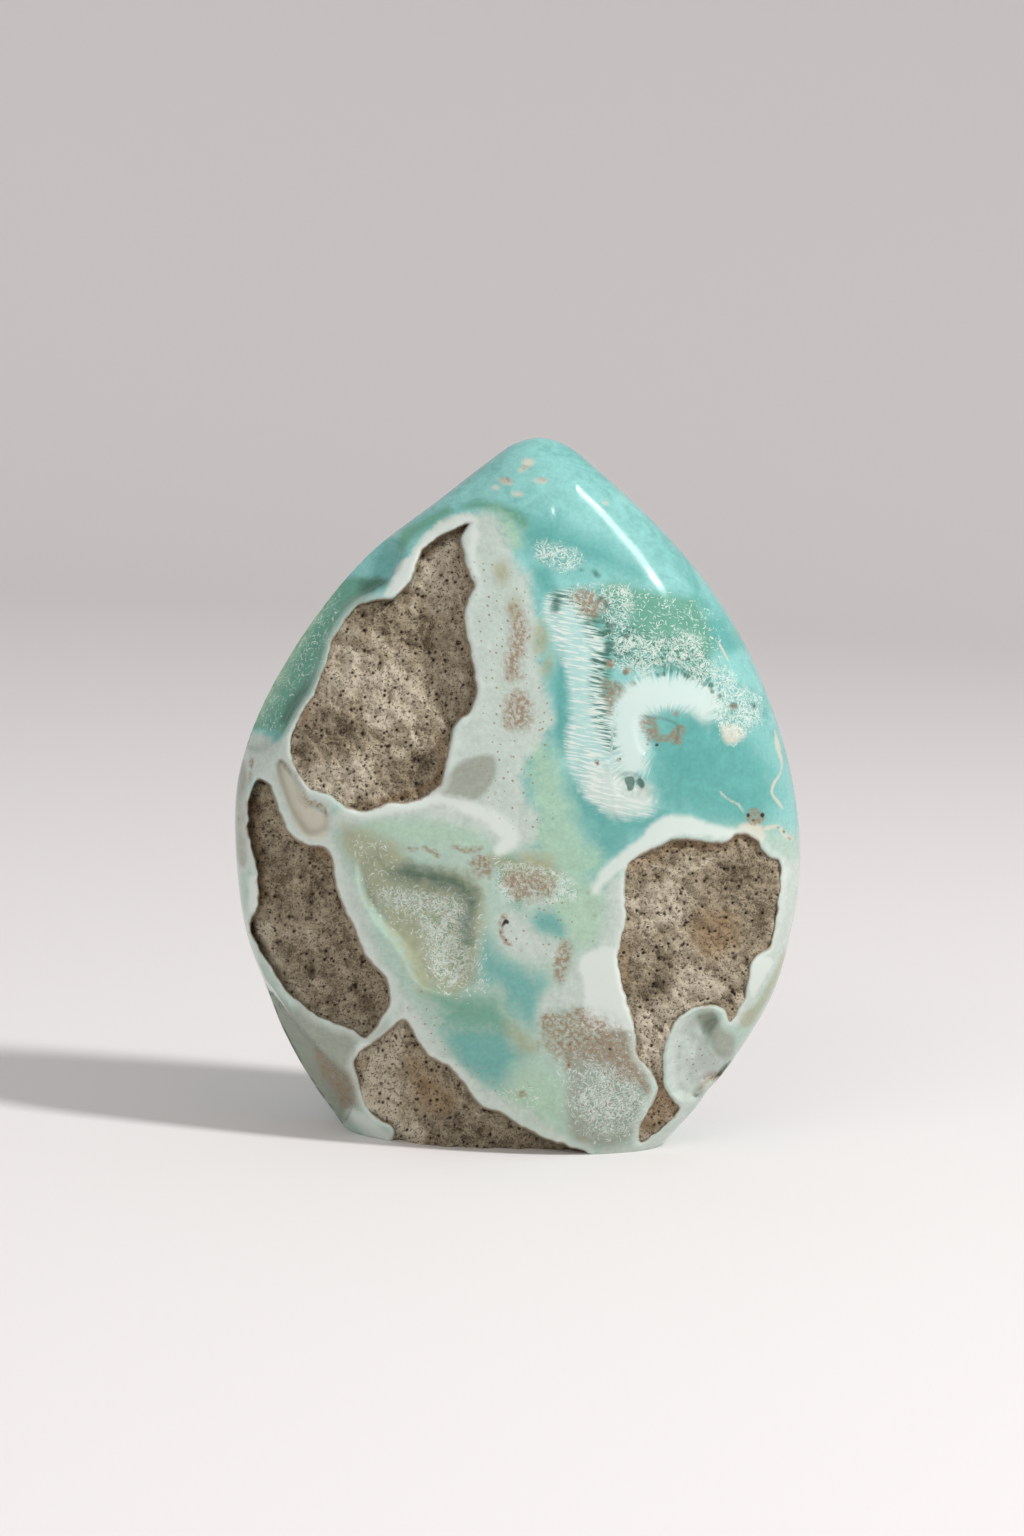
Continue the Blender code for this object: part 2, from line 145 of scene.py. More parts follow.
def spots(soft, text):
    """Separate ovals of u,v,half width,half height,lean in degrees."""
    return ("spots", soft, rows(text))


# Where each mineral lies on the front. The words over each row say which place it is.
FRONT_MINERALS = {
    "mint": [
        # all of the face below the upper window
        patch(2.5, """
    -30.9,43.2 -26.5,43.5 -19.9,44.9 -9.9,46.1 -3.2,44.8 2.6,41.2 8.5,35.4 16.1,38 23.6,42.9 40.4,41.6
    44,17.3 31.3,5.5 20.8,-5.1 -1.4,-6.3 -23.6,-7.6 -34.8,12.9 -39.3,34.9 -36.5,42.9"""),
    ],
    "teal": [
        # under the large gloss
        patch(2.0, """
    -1.7,81.3 1.3,82.3 5.2,81.6 8.9,80.1 12.2,78.6 14.4,77.4 14.5,75.7 11.9,76.5 7.9,77.7 3.6,79 1,79.3
    -0.7,79.6"""),
        # swirl above the fan
        patch(0.6, "0.4,78.4 1.5,79 3.2,78.6 3.9,77.9 2.4,77.6 0.9,77.7"),
        # left of the fan
        patch(1.2, "0.1,76.6 2.2,77 2.9,75.5 3.5,73 2.5,72.5 0.9,74.1 0,75.4"),
        # strip between the pale field and the comb
        patch(0.8, """
    2.1,76 3.5,73.9 4.3,71.8 4.6,69.4 5.1,65.8 5.7,62.2 6.3,58.6 6.6,55 6.2,52 5,52.5 4,56.7 3.9,60.9
    4,65.2 3.4,68.8 2.6,72.4"""),
        # under the comb
        patch(1.8, """
    6.1,48.9 9.1,48.2 12.3,46.6 14.8,44.9 15.5,42.2 13.6,39.4 10.9,38.6 8.9,41.5 6.9,45"""),
        # right of the curl
        patch(1.5, """
    22.2,56.2 24.8,57.5 25.8,55.3 26.4,53.1 25.6,50.8 23.5,48.7 21,46.8 19.7,45.8 18.7,47.5 20.8,50.3
    22.2,52.9"""),
        # below the holes
        patch(1.2, "12.7,44.3 15.6,44.2 18,44.6 19.7,45.6 20,44.1 18.1,42.4 15,42 12.8,42.5"),
        # beside the crystal hollow
        patch(2.0, """
    -3.9,27.2 -2.9,26.5 -0.8,24.4 1.8,23.3 4.6,21.7 4.6,19.2 3.2,15.7 1.7,16.6 -0.5,18.9 -1.8,20.9
    -3.6,21.8 -4.2,24.2"""),
        # low middle
        patch(2.4, """
    -7.7,15 -3.8,15.5 -0.3,15.5 1.3,13.6 2.7,11.6 1.1,8.8 -0.8,7.2 -3.8,8 -6.4,9.6 -7.8,12.5"""),
        # patch in the speckled field
        patch(1.2, "2.2,28.8 3.4,30.6 5.6,31 7.2,29.6 6.8,27.6 4.5,27.9 2.5,27.8"),
        # along the right edge
        patch(1.0, "23.2,70.5 25.4,71.5 27,69.8 28.3,67.7 26.5,66.7 24.2,68.3"),
        # ground right of the curl down to the rim
        patch(2.5, "20.6,58.5 25.7,58.8 31.1,54.9 34.5,49 32.7,44.8 26.5,44.4 20.3,46.1 18,50.1"),
    ],
    "aqua": [
        # the tip
        patch(3.0, """
    -0.6,94.1 8.4,88.8 16.8,81.3 14.3,78.5 8.8,82.2 3.3,83.9 -2.1,84.9 -7.4,85.3 -11.4,84.4 -12.8,85
    -6.4,90"""),
        # right side of the face
        patch(2.0, """
    26.3,56 31.5,58.5 35,54.2 36.9,48.6 36.7,44.1 33.3,45.2 28.8,46.3 25.5,46.1 22.4,46 23.6,48.3
    25.7,50.6"""),
        # lower edge of the comb
        patch(1.0, "6,50.7 7.8,49.9 9.2,47.6 9.9,44.9 9.5,41.9 7.5,44.8 6.1,47.7"),
    ],
    "sea_green": [
        # field with white lace
        patch(1.0, """
    10.5,75.3 13.2,75.1 16.3,74.3 19.5,74 22.4,73.3 23.9,70.5 24.9,67.5 24,65.2 21.7,65.5 19.9,66.3
    17.6,66.6 15.8,67 14,68.6 13,70.8 10.6,72.5 9.2,73.7"""),
        # arc over the pale rim
        patch(0.7, """
    -9.9,84.2 -7.9,85.2 -5.3,85 -2.7,84.4 -1.1,83.4 -0.9,82.1 -1.9,81.9 -3.9,83.2 -6.1,84 -8.6,84"""),
        # upper left shoulder
        patch(0.6, """
    -17.8,80.3 -16.6,81.3 -14.1,82.7 -11.7,84.2 -11,83.7 -12.6,82.3 -15.3,80.3 -17.7,77.8"""),
        # low middle
        patch(2.2, "-10.7,19.4 -7,19.3 -3.7,19.3 -1.4,18.9 -0.4,17.5 0,15 -3.5,14.8 -6.7,15.1 -8.8,17"),
        # upper side hollow
        patch(0.5, """
    -25.9,73.5 -19.4,73.9 -21.8,71.8 -23.4,69.9 -24.8,67.4 -26.3,63.5 -27.1,60 -29,57.4 -31,54.1
    -31.4,52.5 -33.7,53.2 -36,53 -36.8,54 -34.1,59.6 -31.4,65 -29.1,68.9"""),
        # green of the speckled field
        patch(1.0, "-2.3,37.7 0.6,37.4 0.9,31.1 -0.2,32.4 -1.2,33.7 -2.2,35.4"),
    ],
    "leaf_green": [
        # between the pale field and the aqua
        patch(2.0, """
    1,53.5 3.4,53.6 4.8,50.7 6.2,47.4 7.6,44.2 8.9,41.2 11.5,38 9.8,35.8 5.6,35 2.8,37.6 2.2,43 1,47.4"""),
        # band under the upper window
        patch(1.5, "-20.3,41.3 -14.9,41.4 -8.1,41.5 -5.5,39.4 -9.7,39.2 -14.8,39.6 -19,40.3"),
        # foot of the face
        patch(2.2, "2,10.1 6.6,8.9 7.9,7.2 8.4,3 7.1,-0.1 2.5,1.9 0.3,5 1.2,8.1"),
        # round the brown dots
        patch(1.0, "5.1,34.7 9.9,34.5 11.8,32.3 11.4,30.1 11,27.3 8.6,27.2 6.9,29.6 5.6,31.7"),
        # tint in the top of the pale field
        patch(1.2, "-6.1,84 -3,82.9 -1.6,80.8 -2,79.1 -3.7,79.4 -4.7,81.5"),
        # left half of the pale field
        patch(1.2, "-7,66.7 -4,65.9 -2.6,63 -2.9,58.7 -5,58 -6.1,61.6"),
        # outer part of the upper side hollow
        patch(1.2, """
    -32.2,67 -29.3,71.9 -26,75 -26.7,71 -29.9,65.1 -32.6,59.2 -35.3,54.1 -36.8,54.5 -35.1,60.1"""),
    ],
    "mist": [
        # pale field
        patch(1.0, """
    -8.8,82.3 -6.9,83.7 -4.9,82.8 -3.8,80.7 -2.8,78.6 -1.4,76.1 -0.3,75.8 0.2,72.8 1.3,68.7 1.5,65.6
    2.3,62 3.4,59.1 4,56.7 2.8,53.6 1.1,52 0.3,48.9 1.1,45.9 2.7,43.6 2,40.5 -1.5,38.8 -4.7,41.1 -7.2,43
    -11.8,44.3 -12,46.7 -10.4,50.4 -8.5,56 -7.6,60.3 -8.7,65.1 -9.7,71.1 -9,75.3 -8.8,71 -9.1,77.4
    -9.7,79.9"""),
        # under the upper window
        band(0.8, """
    -38.6,50.8,1.5 -34.6,50.1,2 -29.2,44,1.5 -25,41.3,1.2 -19.1,43.2,1.2 -11.8,44.1,1.6 -5.1,43.2,2
    0.3,41.6,2"""),
        # beside the left and lower windows
        band(0.8, """
    -26,40.1,1 -23.6,34.9,1.4 -21.5,30.4,1.5 -18.9,23.2,1.8 -15,17.4,2 -10.7,13,1.6 -7.2,9.4,1.2
    -1.6,5.5,0.9 3.8,3.4,0.8 8,0.6,0.8"""),
        # left of the right window
        patch(1.0, """
    12.3,35.6 15.8,35.8 15.7,32.8 16.3,30.8 15.6,26.3 15.5,23.8 17.5,19.4 17.9,16 10.5,15.6 9.6,18
    6.3,17.8 4.2,16.2 4.5,19.2 5.4,20.5 6.9,21.3 7.8,23.4 9.2,25 11.6,27.1 12.4,29.4 12.8,32.4"""),
        # oval with the small hole
        patch(1.0, """
    -2.1,29.8 -1.1,30.6 0.4,30.5 2.5,29.1 4,27.7 6.3,27 6.9,25.3 5.2,24 2.7,24.1 0.2,25 -1.4,26.6"""),
        # right rim
        patch(0.5, """
    35.4,39.8 37.7,39.3 37.8,36.1 37.4,31.9 36.6,27.8 35.2,26.5 34.6,27.7 35.2,31.2 35.3,35.1 35.5,37.7"""),
        # lower right rim
        patch(0.5, """
    32.3,25.8 34.9,27.5 36.1,27.2 35.3,24.5 33.2,21.1 31.6,17.8 29.9,17.4 31.2,19.8 32.4,22.3"""),
        # round the cream channel
        patch(0.4, """
    -36.8,51 -32.9,51.5 -30.8,53.8 -29,57.4 -27,58.5 -26.4,56.1 -29.2,52.2 -30.3,50.9 -29.5,48.4
    -27.3,45.3 -25,44.4 -24.8,41.7 -24.8,37.2 -28.9,38.5 -30.7,40.1 -31.9,42.8 -33.3,45.7 -36.1,46
    -35.4,35.1 -37.2,35 -37.5,45.5"""),
        # recess at the lower right
        patch(0.4, """
    21.8,13.4 22.8,16.7 24.5,18.3 27.7,13.8 29.6,11.5 29.1,9.1 26.8,8.4 26.3,6.9 24.3,5.9 22.4,8.8"""),
        # left edge of the upper window
        band(0.4, """
    -17.4,73.1,0.8 -16.3,75.7,0.8 -14.7,78.4,0.8 -13.6,80.2,0.7 -12.3,81.3,0.8 -10.7,82.1,0.9
    -8.8,82.7,0.8"""),
        # foot rim
        band(0.3, "24,5.9,0.6 23.6,3.5,0.6 21.6,1.4,0.6 17.9,0,0.6 13.8,-0.5,0.5"),
        # haze round the holes
        patch(1.2, """
    9.2,49.7 12.3,50.3 14.6,49.1 16.9,48.8 17.8,47.5 17,45.7 14.9,44.7 12.7,44.3 10.8,45.8 8.9,47.4"""),
        # pale flap over the grey patch
        patch(0.35, "-10.4,47.9 -9.8,51.4 -8.8,54.8 -7.2,56.6 -5.7,55.1 -4.9,52.1 -7.5,50.6 -9.5,48.8"),
    ],
    "curl": [
        # thick open ring
        band(0.8, """
    25.3,59.3,1 23.4,60.8,1.6 20.4,61.3,1.9 17.5,61,2 15.2,60,2 14,58.1,2 14.1,55.5,1.9 14.8,52.9,1.7
    15.4,51.1,1.2"""),
    ],
    "gaps": [
        # ends of the long comb
        band(0.9, """
    3.5,73,0.8 6,72.7,1 7.9,70.8,1.2 8.9,68.8,1.3 10.1,67,1.4 10.2,64.6,1.3 9.9,61.9,1.2 10.1,58.8,1.2
    10.7,56.5,1 11.9,53.5,0.8"""),
        # under the lace
        patch(1.0, """
    9.3,73.1 11.3,72.5 12.9,71 14.6,69.1 16.7,67.9 19.8,68.3 23.4,66.5 24.5,63.9 23.5,62.1 20,63.6
    16.9,63.9 14,64.2 11.7,65 9.8,67.5"""),
    ],
    "white": [
        # core of the curl
        patch(1.6, """
    12.7,56.3 12.6,59.2 13.2,60.8 14.1,61.6 17,62.2 18.8,62 21,61.8 22.8,62.3 24.2,61.4 25,60.1
    25.1,58.1 24.6,57.4 23,58.5 21.2,59.3 19,59.1 17.2,58.6 15.7,57.6 15.4,55.6 16.2,53.9 16.4,52.3
    15.8,50.9 14.1,50.8 13.1,52.3"""),
        # rim over the right window
        band(0.5, """
    10.9,34.2,0.5 12.1,36.4,0.8 14.9,38.8,1.1 17.5,40.8,1.3 19.2,42.8,1.4 22.3,43.5,1.3 25.4,43,0.9
    29,42.7,0.5"""),
        # plain panel
        patch(0.4, "10.4,26 13.8,26.7 15.2,23.8 17.5,19.4 17.9,16.2 10.7,15.6 10.2,18 10.1,21.5 9.2,24"),
        # rim of the upper window
        band(0.5, """
    -16.3,75.9,0.4 -15,78.3,0.5 -13.6,80.2,0.5 -11.7,81.6,0.6 -9,82.5,0.6 -7.9,81.3,0.5 -8.1,78.3,0.5
    -7.3,75.4,0.4"""),
        # lip at the left of the upper window
        patch(0.25, "-19.5,71.6 -18.7,74 -17.4,76.7 -15.5,76.8 -15.9,75.3 -17.2,72.9 -18.8,71.5"),
        # under the upper window
        band(0.6, "-22.2,42.8,0.6 -15.8,43.9,0.9 -10.5,45,0.8 -5.1,43.7,1 -0.9,40.9,1.2 -2.2,38.8,0.8"),
        # left rim patch
        patch(0.3, "-35.2,33.5 -33.9,33.2 -33.5,31.3 -33.8,29.5 -34.9,28.6 -35.3,30.9"),
        # in the right rim
        patch(0.3, "32.3,25.5 34,26.6 35,25.9 33.9,23.5 32.7,21.1 32.1,22.2"),
        # foot rim on the left
        band(0.7, "-20,2.8,0.7 -17.9,1.3,1 -15,-0.6,0.9 -12.2,-1.1,0.5"),
        # knob
        spots(0.6, "-18.7,10.9,1.1,1.3,0"),
    ],
    "cream": [
        # channel
        patch(0.4, """
    -32.3,48.5 -31.2,48.1 -30.1,46.4 -28.7,44.5 -27.4,43 -25.6,42.1 -25.1,41.2 -25.9,38.9 -27.9,39
    -29.8,40.9 -30.7,43.4 -32.1,46"""),
        # squiggle near the right edge
        band(0.15, """
    33.5,56.8,0.1 34,54.9,0.3 34.3,53.8,0.25 34.7,52.4,0.12 34.5,50.9,0.12 33.8,49.7,0.2 33.6,48.4,0.15
    34.3,47.5,0.2 35.1,46.5,0.15"""),
        # thin line
        band(0.15, "26.7,48.2,0.12 27.9,47.2,0.15 29.3,46.6,0.15 30,45.5,0.12"),
        # short diagonal line
        band(0.12, "25.3,68.2,0.1 26.2,66.7,0.14 26.8,65.7,0.1"),
        # white grains under the knob
        patch(0.4, "30,44.2 32.3,44.1 33,42.3 31.3,41.6 29.2,42.8"),
        # grain cluster
        patch(0.5, "26.4,56.9 28.4,57.2 29.6,56.4 29.2,55.3 27.2,54.7"),
        # vein by the knob
        band(0.2, "33.2,43.7,0.3 34.7,44,0.2 35.5,43.1,0.25 36.6,42.4,0.2"),
        # left part of the panel rim
        patch(0.4, "14.3,21.8 15.6,21.8 17.3,18.4 17.7,16 16.4,15.9 16.5,18.4"),
        # tip flecks
        spots(0.35, """
    -1.3,90.6,0.8,0.6,0 -2.1,89.6,0.5,0.25,20 -4.2,87.9,0.8,0.4,-10 -5.4,87.1,0.4,0.3,0
    -2.4,86.3,0.7,0.35,0 -0.1,88.2,0.4,0.2,0 0.8,88.3,0.6,0.35,0 9.3,85.8,0.3,0.25,0"""),
    ],
    "smoke": [
        # grey patch at the foot of the upper window
        patch(0.5, "-12.3,44.5 -10.1,48 -7.5,50.5 -3.9,51.3 -3.3,48.7 -5.4,45.5 -9.2,44.2"),
        # fibrous zone low on the right
        patch(1.0, """
    8.4,13 10.8,14.1 13.8,14.3 15.8,13.9 18.1,12 19.3,9.6 18.7,6.1 18.4,2.5 15.3,0.1 10.6,0.1 8.9,3
    8.6,8"""),
        # over the ridge between the lower windows
        patch(0.6, "-25.5,14 -21.6,14 -19.2,13.5 -15.9,15.2 -15.8,12.9 -19,9 -21.3,8.9 -23.7,11"),
        # corner of the panel
        patch(0.4, "12.2,15.2 14.7,15.8 16.7,15.9 16.8,14.4 14.8,14.1 12.8,14.4"),
        # grey left rim
        patch(0.4, "-37.9,47.9 -37,49 -36.3,45.5 -35.7,35.6 -37.2,35.5 -37.8,43"),
        # lower side hollow
        patch(0.5, """
    -32.1,19.1 -30.3,17.5 -27.9,15.1 -25.5,12.6 -21.2,8.3 -19.4,6.7 -19.8,3.5 -20.8,1.2 -23.3,4.2
    -27.6,10.2 -30.7,15.2"""),
        # grey strip by the recess
        patch(0.5, "25,19.2 27.4,19.6 28.7,16.8 30.6,15.4 30.1,12.7 28.3,12.9 27,15.5 25.8,17.2"),
        # green-grey band of the lower side hollow
        patch(0.8, """
    -30,15.9 -26.6,12 -23.6,8.2 -20.5,4.3 -19.2,2.8 -20.8,1.5 -24.6,4.9 -28.9,10.3 -32.4,14.9"""),
        # rough grey ridge
        patch(0.7, """
    -27.7,17.6 -25.2,15.3 -21.8,12.3 -19.4,12.8 -17,13.4 -17.2,10.2 -19.1,7.2 -18.8,2.8 -20.4,2.3
    -21.1,6.7 -24.9,11.3 -28.3,14.8"""),
    ],
    "olive": [
        # crystal hollow, yellow side
        patch(1.2, """
    -14.8,28.9 -13.6,30.3 -12.1,28.4 -11.3,25.4 -10.8,22.4 -9.3,19.9 -10.6,19.3 -12,20.3 -13.5,22.7
    -14.3,25.2"""),
        # upper left of the crystal hollow
        patch(1.2, """
    -22.4,39.1 -20.5,39.8 -17.7,38.2 -15.9,36.5 -16.5,34.2 -17.4,32.5 -18,30.1 -19.4,31 -20,33.4
    -20.8,35.9 -22.4,37.8"""),
        # hazes in the pale field
        spots(1.0, """
    -4,75.6,1,1.4,0 -2.3,71.2,0.8,1.3,0 2,67.2,0.9,2.2,0 2.8,63.9,0.7,1.2,0 1.4,66.8,0.8,1.6,0"""),
        # edge of the low teal
        patch(1.5, "0,15.5 1.2,15.3 3.3,13.7 3.9,12.5 2.4,12.1 0.8,13.5"),
        # green of the speckled field
        patch(1.0, "-3.7,38.2 -1.1,38 0.6,37.2 0.9,32.5 -0.6,33.4 -1.9,35.6 -3.1,37"),
        # outer strip of the right rim
        patch(0.35, """
    36.1,26.9 36.9,27.8 36.5,25.4 35.4,22.7 34.1,20 32.5,17.3 31.3,17.2 31.2,18.7 33.2,20.2 34.3,22.4
    35.6,25.4"""),
        # green of the speckled field, right side
        patch(1.2, "-0.8,37.1 1.8,38.7 4.9,38 5.6,35.6 2.6,34.8 0.2,35.3"),
        # floor of the crystal hollow
        patch(1.2, """
    -23,40.9 -16.2,39 -13.3,36.1 -7.7,35.9 -4.2,33 -4.1,25.8 -5.7,20.1 -10.1,19.9 -14.3,24.7 -17.3,28.9
    -19.8,33.8 -22.8,37.5"""),
    ],
    "dark_green": [
        # under the upper right edge of the crystal hollow: painted shade that its wall casts, in the dark
        # green
        band(1.6, """
    -15.9,34.9,0.5 -14.2,35.2,0.9 -11.8,34.8,1 -9.4,34.5,0.9 -7.3,33.9,0.8 -5.9,32.6,0.7 -5.5,30.8,0.5
    -6,28.6,0.4 -5.6,26.6,0.3"""),
        # gaps in the comb
        spots(0.2, """
    10.8,69.5,0.75,0.35,10 10.5,68.7,0.8,0.3,10 10.9,67.1,0.7,0.3,0 10.8,66.2,0.7,0.45,10
    9,64.7,0.6,0.25,-10 10.3,64.5,0.4,0.3,0 11.8,65.6,0.35,0.3,0 9.9,63.6,0.4,0.2,0 9.5,68.2,0.5,0.2,0"""),
        # star centre
        spots(0.25, """
    9.3,72.9,0.35,0.6,-30 10.1,72.3,0.3,0.5,20 8.5,76.2,0.45,0.25,-30 6.6,76.7,0.3,0.2,0"""),
        # eyes in the lace
        spots(0.2, """
    13,68.3,0.8,0.3,5 13.3,65.9,0.4,0.25,0 12.4,65.4,0.3,0.25,0 14.3,65.4,0.2,0.15,0 13.2,63.4,0.4,0.4,0
    17.6,63.3,0.25,0.25,0 22.3,63,0.2,0.15,0 23.7,62.4,0.4,0.3,0 24.7,62.3,0.45,0.4,0
    24.9,61.5,0.3,0.3,0 14.4,64.2,0.15,0.15,0 18.3,63.5,0.4,0.3,20 21.2,63.5,0.5,0.3,-30"""),
        # second star
        spots(0.25, "27.8,59.8,0.5,0.35,-20 26,60.9,0.35,0.3,0 30.5,59.8,0.3,0.4,0"),
        # two-lobed hole, left lobe: painted shade inside the hole, in the dark green
        patch(0.12, "13.8,49.3 15,49.6 15.3,48.9 15,47.7 14.4,47.6 14.2,48.4"),
        # two-lobed hole, right lobe: painted shade inside the hole, in the dark green
        patch(0.12, "15.5,49.2 16,49.5 16.6,48.8 16.7,48.1 16.1,48.1 15.5,48.7"),
        # upper side hollow, by the ridge: deep green darkened with painted shade under the ridge
        patch(0.8, "-18.9,73.9 -21.8,71.4 -23.2,70 -24.1,68.9 -24.4,70.1 -22.8,72.2 -22.4,73.7"),
        # upper side hollow, lower shade
        patch(0.7, """
    -27,61.8 -27.6,59.5 -29,57.4 -30.3,55.3 -31.3,54 -32.3,54 -31.4,56.8 -29.6,59.4 -28.2,60.9"""),
        # teal streaks in the fan
        spots(0.4, "3.5,71.7,0.5,0.9,-15 8.5,76.3,0.5,0.25,-30"),
    ],
    "brown": [
        # haze inside the curl
        patch(0.5, "15.6,56.9 16.4,57.6 17.5,57.3 18.3,55.5 18.1,54.9 17,54.6 16,55.6"),
        # small dot over it
        spots(0.3, "20.2,58.3,0.5,0.35,0"),
        # crystal patch inside the curl
        patch(0.2, """
    17.4,54.3 18.3,55.2 19.6,55.6 20.4,56.8 21.8,56.5 21.3,55.3 21.1,54 19.7,54.5 18.3,54.3"""),
        # streak beside the panel
        patch(0.6, "6.8,27.1 8.1,26.9 8,24.4 7.4,21.9 6.6,21.3 5.8,22.8 6.2,25.3"),
        # wedge
        patch(0.2, """
    4.3,16 5.1,17.5 7.6,17.5 10.2,18.4 10.5,14.8 12.8,13.7 15.3,12.8 17,10.7 16,10.9 13.4,12.2 10.8,13.8
    7.8,14.7 5.5,14.7"""),
        # vein on the wedge
        band(0.15, """
    9.8,14.5,0.2 11.3,14,0.3 12.8,13.7,0.35 14.1,13,0.45 15.1,12.6,0.2 16.7,10.9,0.3 18.3,9.5,0.4
    19.4,7.8,0.5"""),
        # thin drop below the wedge
        band(0.2, "7.8,14.2,0.4 8.4,13,0.45 8.2,11.7,0.3 8.7,10.6,0.3"),
        # dotted line under the upper window
        band(0.25, """
    -14.4,38.3,0.3 -13.8,38.2,0.35 -13,38.3,0.12 -12.1,38.6,0.25 -12.1,38.2,0.1 -10.9,38.1,0.35
    -10.3,37.5,0.3"""),
        # second dotted line
        band(0.3, "-8.8,38.8,0.25 -8,38.9,0.3 -7.1,38.5,0.2 -5.6,38.6,0.4 -4.7,38.9,0.3"),
        # pink blob
        patch(0.35, "-6,37 -5.4,38.1 -4.4,38 -3.5,37.2 -2.7,36.4 -3.4,35.5 -4.6,35.7 -5.8,36.2"),
        # ring of the small hole
        band(0.25, "-1.1,30,0.35 -1.5,28.9,0.3 -1.3,27.6,0.3 -0.8,26.7,0.3 -0.1,26.3,0.25"),
        # knob at the right
        patch(0.15, "30.4,45.3 30.6,46 31.5,46.3 32.5,46 32.9,45.2 32.5,44.3 31.4,43.9 30.5,44.4"),
        # ovals at the right edge
        spots(0.12, "34.7,43.9,0.25,0.18,20 35.5,43.4,0.2,0.28,30 36.3,42.5,0.25,0.15,-30"),
        # ovals at the left edge
        spots(0.15, """
    -35.9,48.5,0.33,0.75,0 -36,46.5,0.4,0.9,-10 -34.9,46.8,0.22,0.3,0 -37.1,41,0.15,0.3,0"""),
        # ends of the small tube
        spots(0.12, "10.1,51.2,0.35,0.45,10 13,51.7,0.35,0.25,15"),
        # dots beside the right window
        spots(0.25, """
    9.9,33.7,0.15,0.2,0 10.1,32.4,0.3,0.2,0 10.9,30.8,0.25,0.2,0 11.9,31.6,0.12,0.12,0"""),
        # star field
        patch(0.8, "5.5,73.3 7.2,74.3 8.3,74.1 9.3,73.1 9.6,71.3 8.8,69.9 7.4,70.7 6.2,72"),
        # right edge of the comb
        patch(0.5, """
    10.1,62 11.2,62.5 12.3,62.1 13.1,61.7 12.9,60.6 12,59.2 11.5,57.4 11,58.7 10.6,60.4"""),
        # near the lace
        spots(0.4, """
    11.1,64.5,0.5,0.6,0 13.4,63.6,0.6,0.5,0 12.8,61.2,0.4,0.5,20 14.3,62,0.3,0.3,0 27.7,59.6,0.6,0.4,0"""),
        # speckle in the pale field
        patch(0.9, """
    -2.7,71.1 -1.7,71.5 -0.2,68.9 -0.3,66.1 -0.8,64 -0.7,61.9 -2.5,61.2 -2.9,63 -2.7,66 -2.6,68.4"""),
        # speckle, lower part
        patch(0.8, "-2.1,59.7 0.3,59.8 1.1,57.1 0.3,55 -1.8,54.9 -2.8,56.3"),
        # spots in the speckle
        spots(0.3, """
    -2.3,70.7,0.35,0.25,0 -1.5,63.5,0.5,0.4,0 -2.4,61.8,0.5,0.5,0 -0.9,69,0.4,0.3,0 -3.2,46.3,0.15,0.2,0
    2.9,38.2,0.2,0.15,0 2.7,37.1,0.25,0.15,0"""),
        # low spots
        spots(0.35, """
    8.6,13.5,0.2,0.3,0 2.6,6.4,0.6,0.4,0 10.7,0.9,0.3,0.2,0 8.6,10.6,0.45,0.4,0 12.4,13.9,0.3,0.15,0"""),
        # lower side hollow
        patch(0.8, "-25.1,11.5 -22.4,8.8 -19.4,6.7 -19.8,3.5 -20.9,3.2 -22.8,5.4 -24.6,8.1"),
        # wall of the channel: painted shade along the channel's upper right wall, in the brown
        band(0.25, """
    -32,49.1,0.25 -30.7,47.8,0.35 -29.3,46.2,0.3 -28.2,44,0.3 -26.9,43.6,0.4 -25.9,42.9,0.35
    -25.4,42,0.2"""),
        # foot of the recess
        patch(0.6, "27.4,10.8 29,10.9 28.8,9.7 26.8,9 26.4,7.8 25.9,8.4"),
        # crack right of the upper window
        band(0.12, "-9.3,48.5,0.12 -7.3,49.3,0.1 -5,50,0.08"),
        # tip clusters
        spots(0.35, "-4.2,88.1,0.6,0.3,0 -1.3,89.9,0.5,0.2,0 0.8,88.5,0.4,0.2,0"),
        # speckle under the pale field
        patch(0.8, "-6,37.1 -4.5,37.8 -3.2,36.9 -2.9,35.7 -4,35.1 -5.6,35.9"),
        # speckled field
        patch(0.9, "-1.3,35.5 1.3,36.3 4.4,35.5 5.7,33.5 1.9,32.4 -0.9,33.4"),
        # stained corner of the grey zone
        patch(1.2, "4.5,16.5 10.6,17.8 15.9,15.1 19.2,10.1 17.2,9 10.9,11.7 6.8,11.5"),
    ],
    # Pits: near black, painted shade inside small open holes
    "pit": [
        # black pits inside the curl
        spots(0.08, "16.7,54,0.2,0.16,0 17.9,54,0.3,0.24,20 18.5,55.8,0.12,0.1,0"),
        # small hole
        patch(0.1, "-1.2,29.4 -0.8,29.7 -0.4,29.4 -0.5,28.9 -0.9,29 -1.3,28.3 -1.4,28.7"),
        # along its ring
        spots(0.1, """
    -1.5,27.9,0.12,0.25,0 -0.7,26.9,0.15,0.15,0 -0.2,26.4,0.18,0.14,0 0.7,26.4,0.12,0.1,0"""),
        # on the tan vein
        spots(0.1, """
    14,13.1,0.3,0.2,-20 12.5,13.8,0.35,0.12,-15 10.8,14.2,0.2,0.12,0 8.6,13.4,0.14,0.2,0
    8.6,10.6,0.16,0.16,0"""),
        # dots
        spots(0.08, """
    -3.2,46.3,0.14,0.1,30 -3.3,63.6,0.12,0.1,0 2.9,38.1,0.14,0.1,-30 2.7,37.1,0.12,0.09,0
    -4.9,45.7,0.1,0.1,0 0.7,44.2,0.12,0.1,0 -0.5,45.1,0.1,0.08,0 -5.1,69.2,0.1,0.09,0
    10,33.7,0.12,0.12,0"""),
        # ovals at the right edge
        spots(0.08, "34.7,43.9,0.14,0.1,0 35.5,43.3,0.12,0.16,0"),
        # dark spots on the knob
        spots(0.1, """
    30.6,45.3,0.25,0.3,0 32.5,45.4,0.3,0.35,0 31.3,44.7,0.25,0.15,0 31.9,45.8,0.2,0.12,0"""),
        # ends of the tube
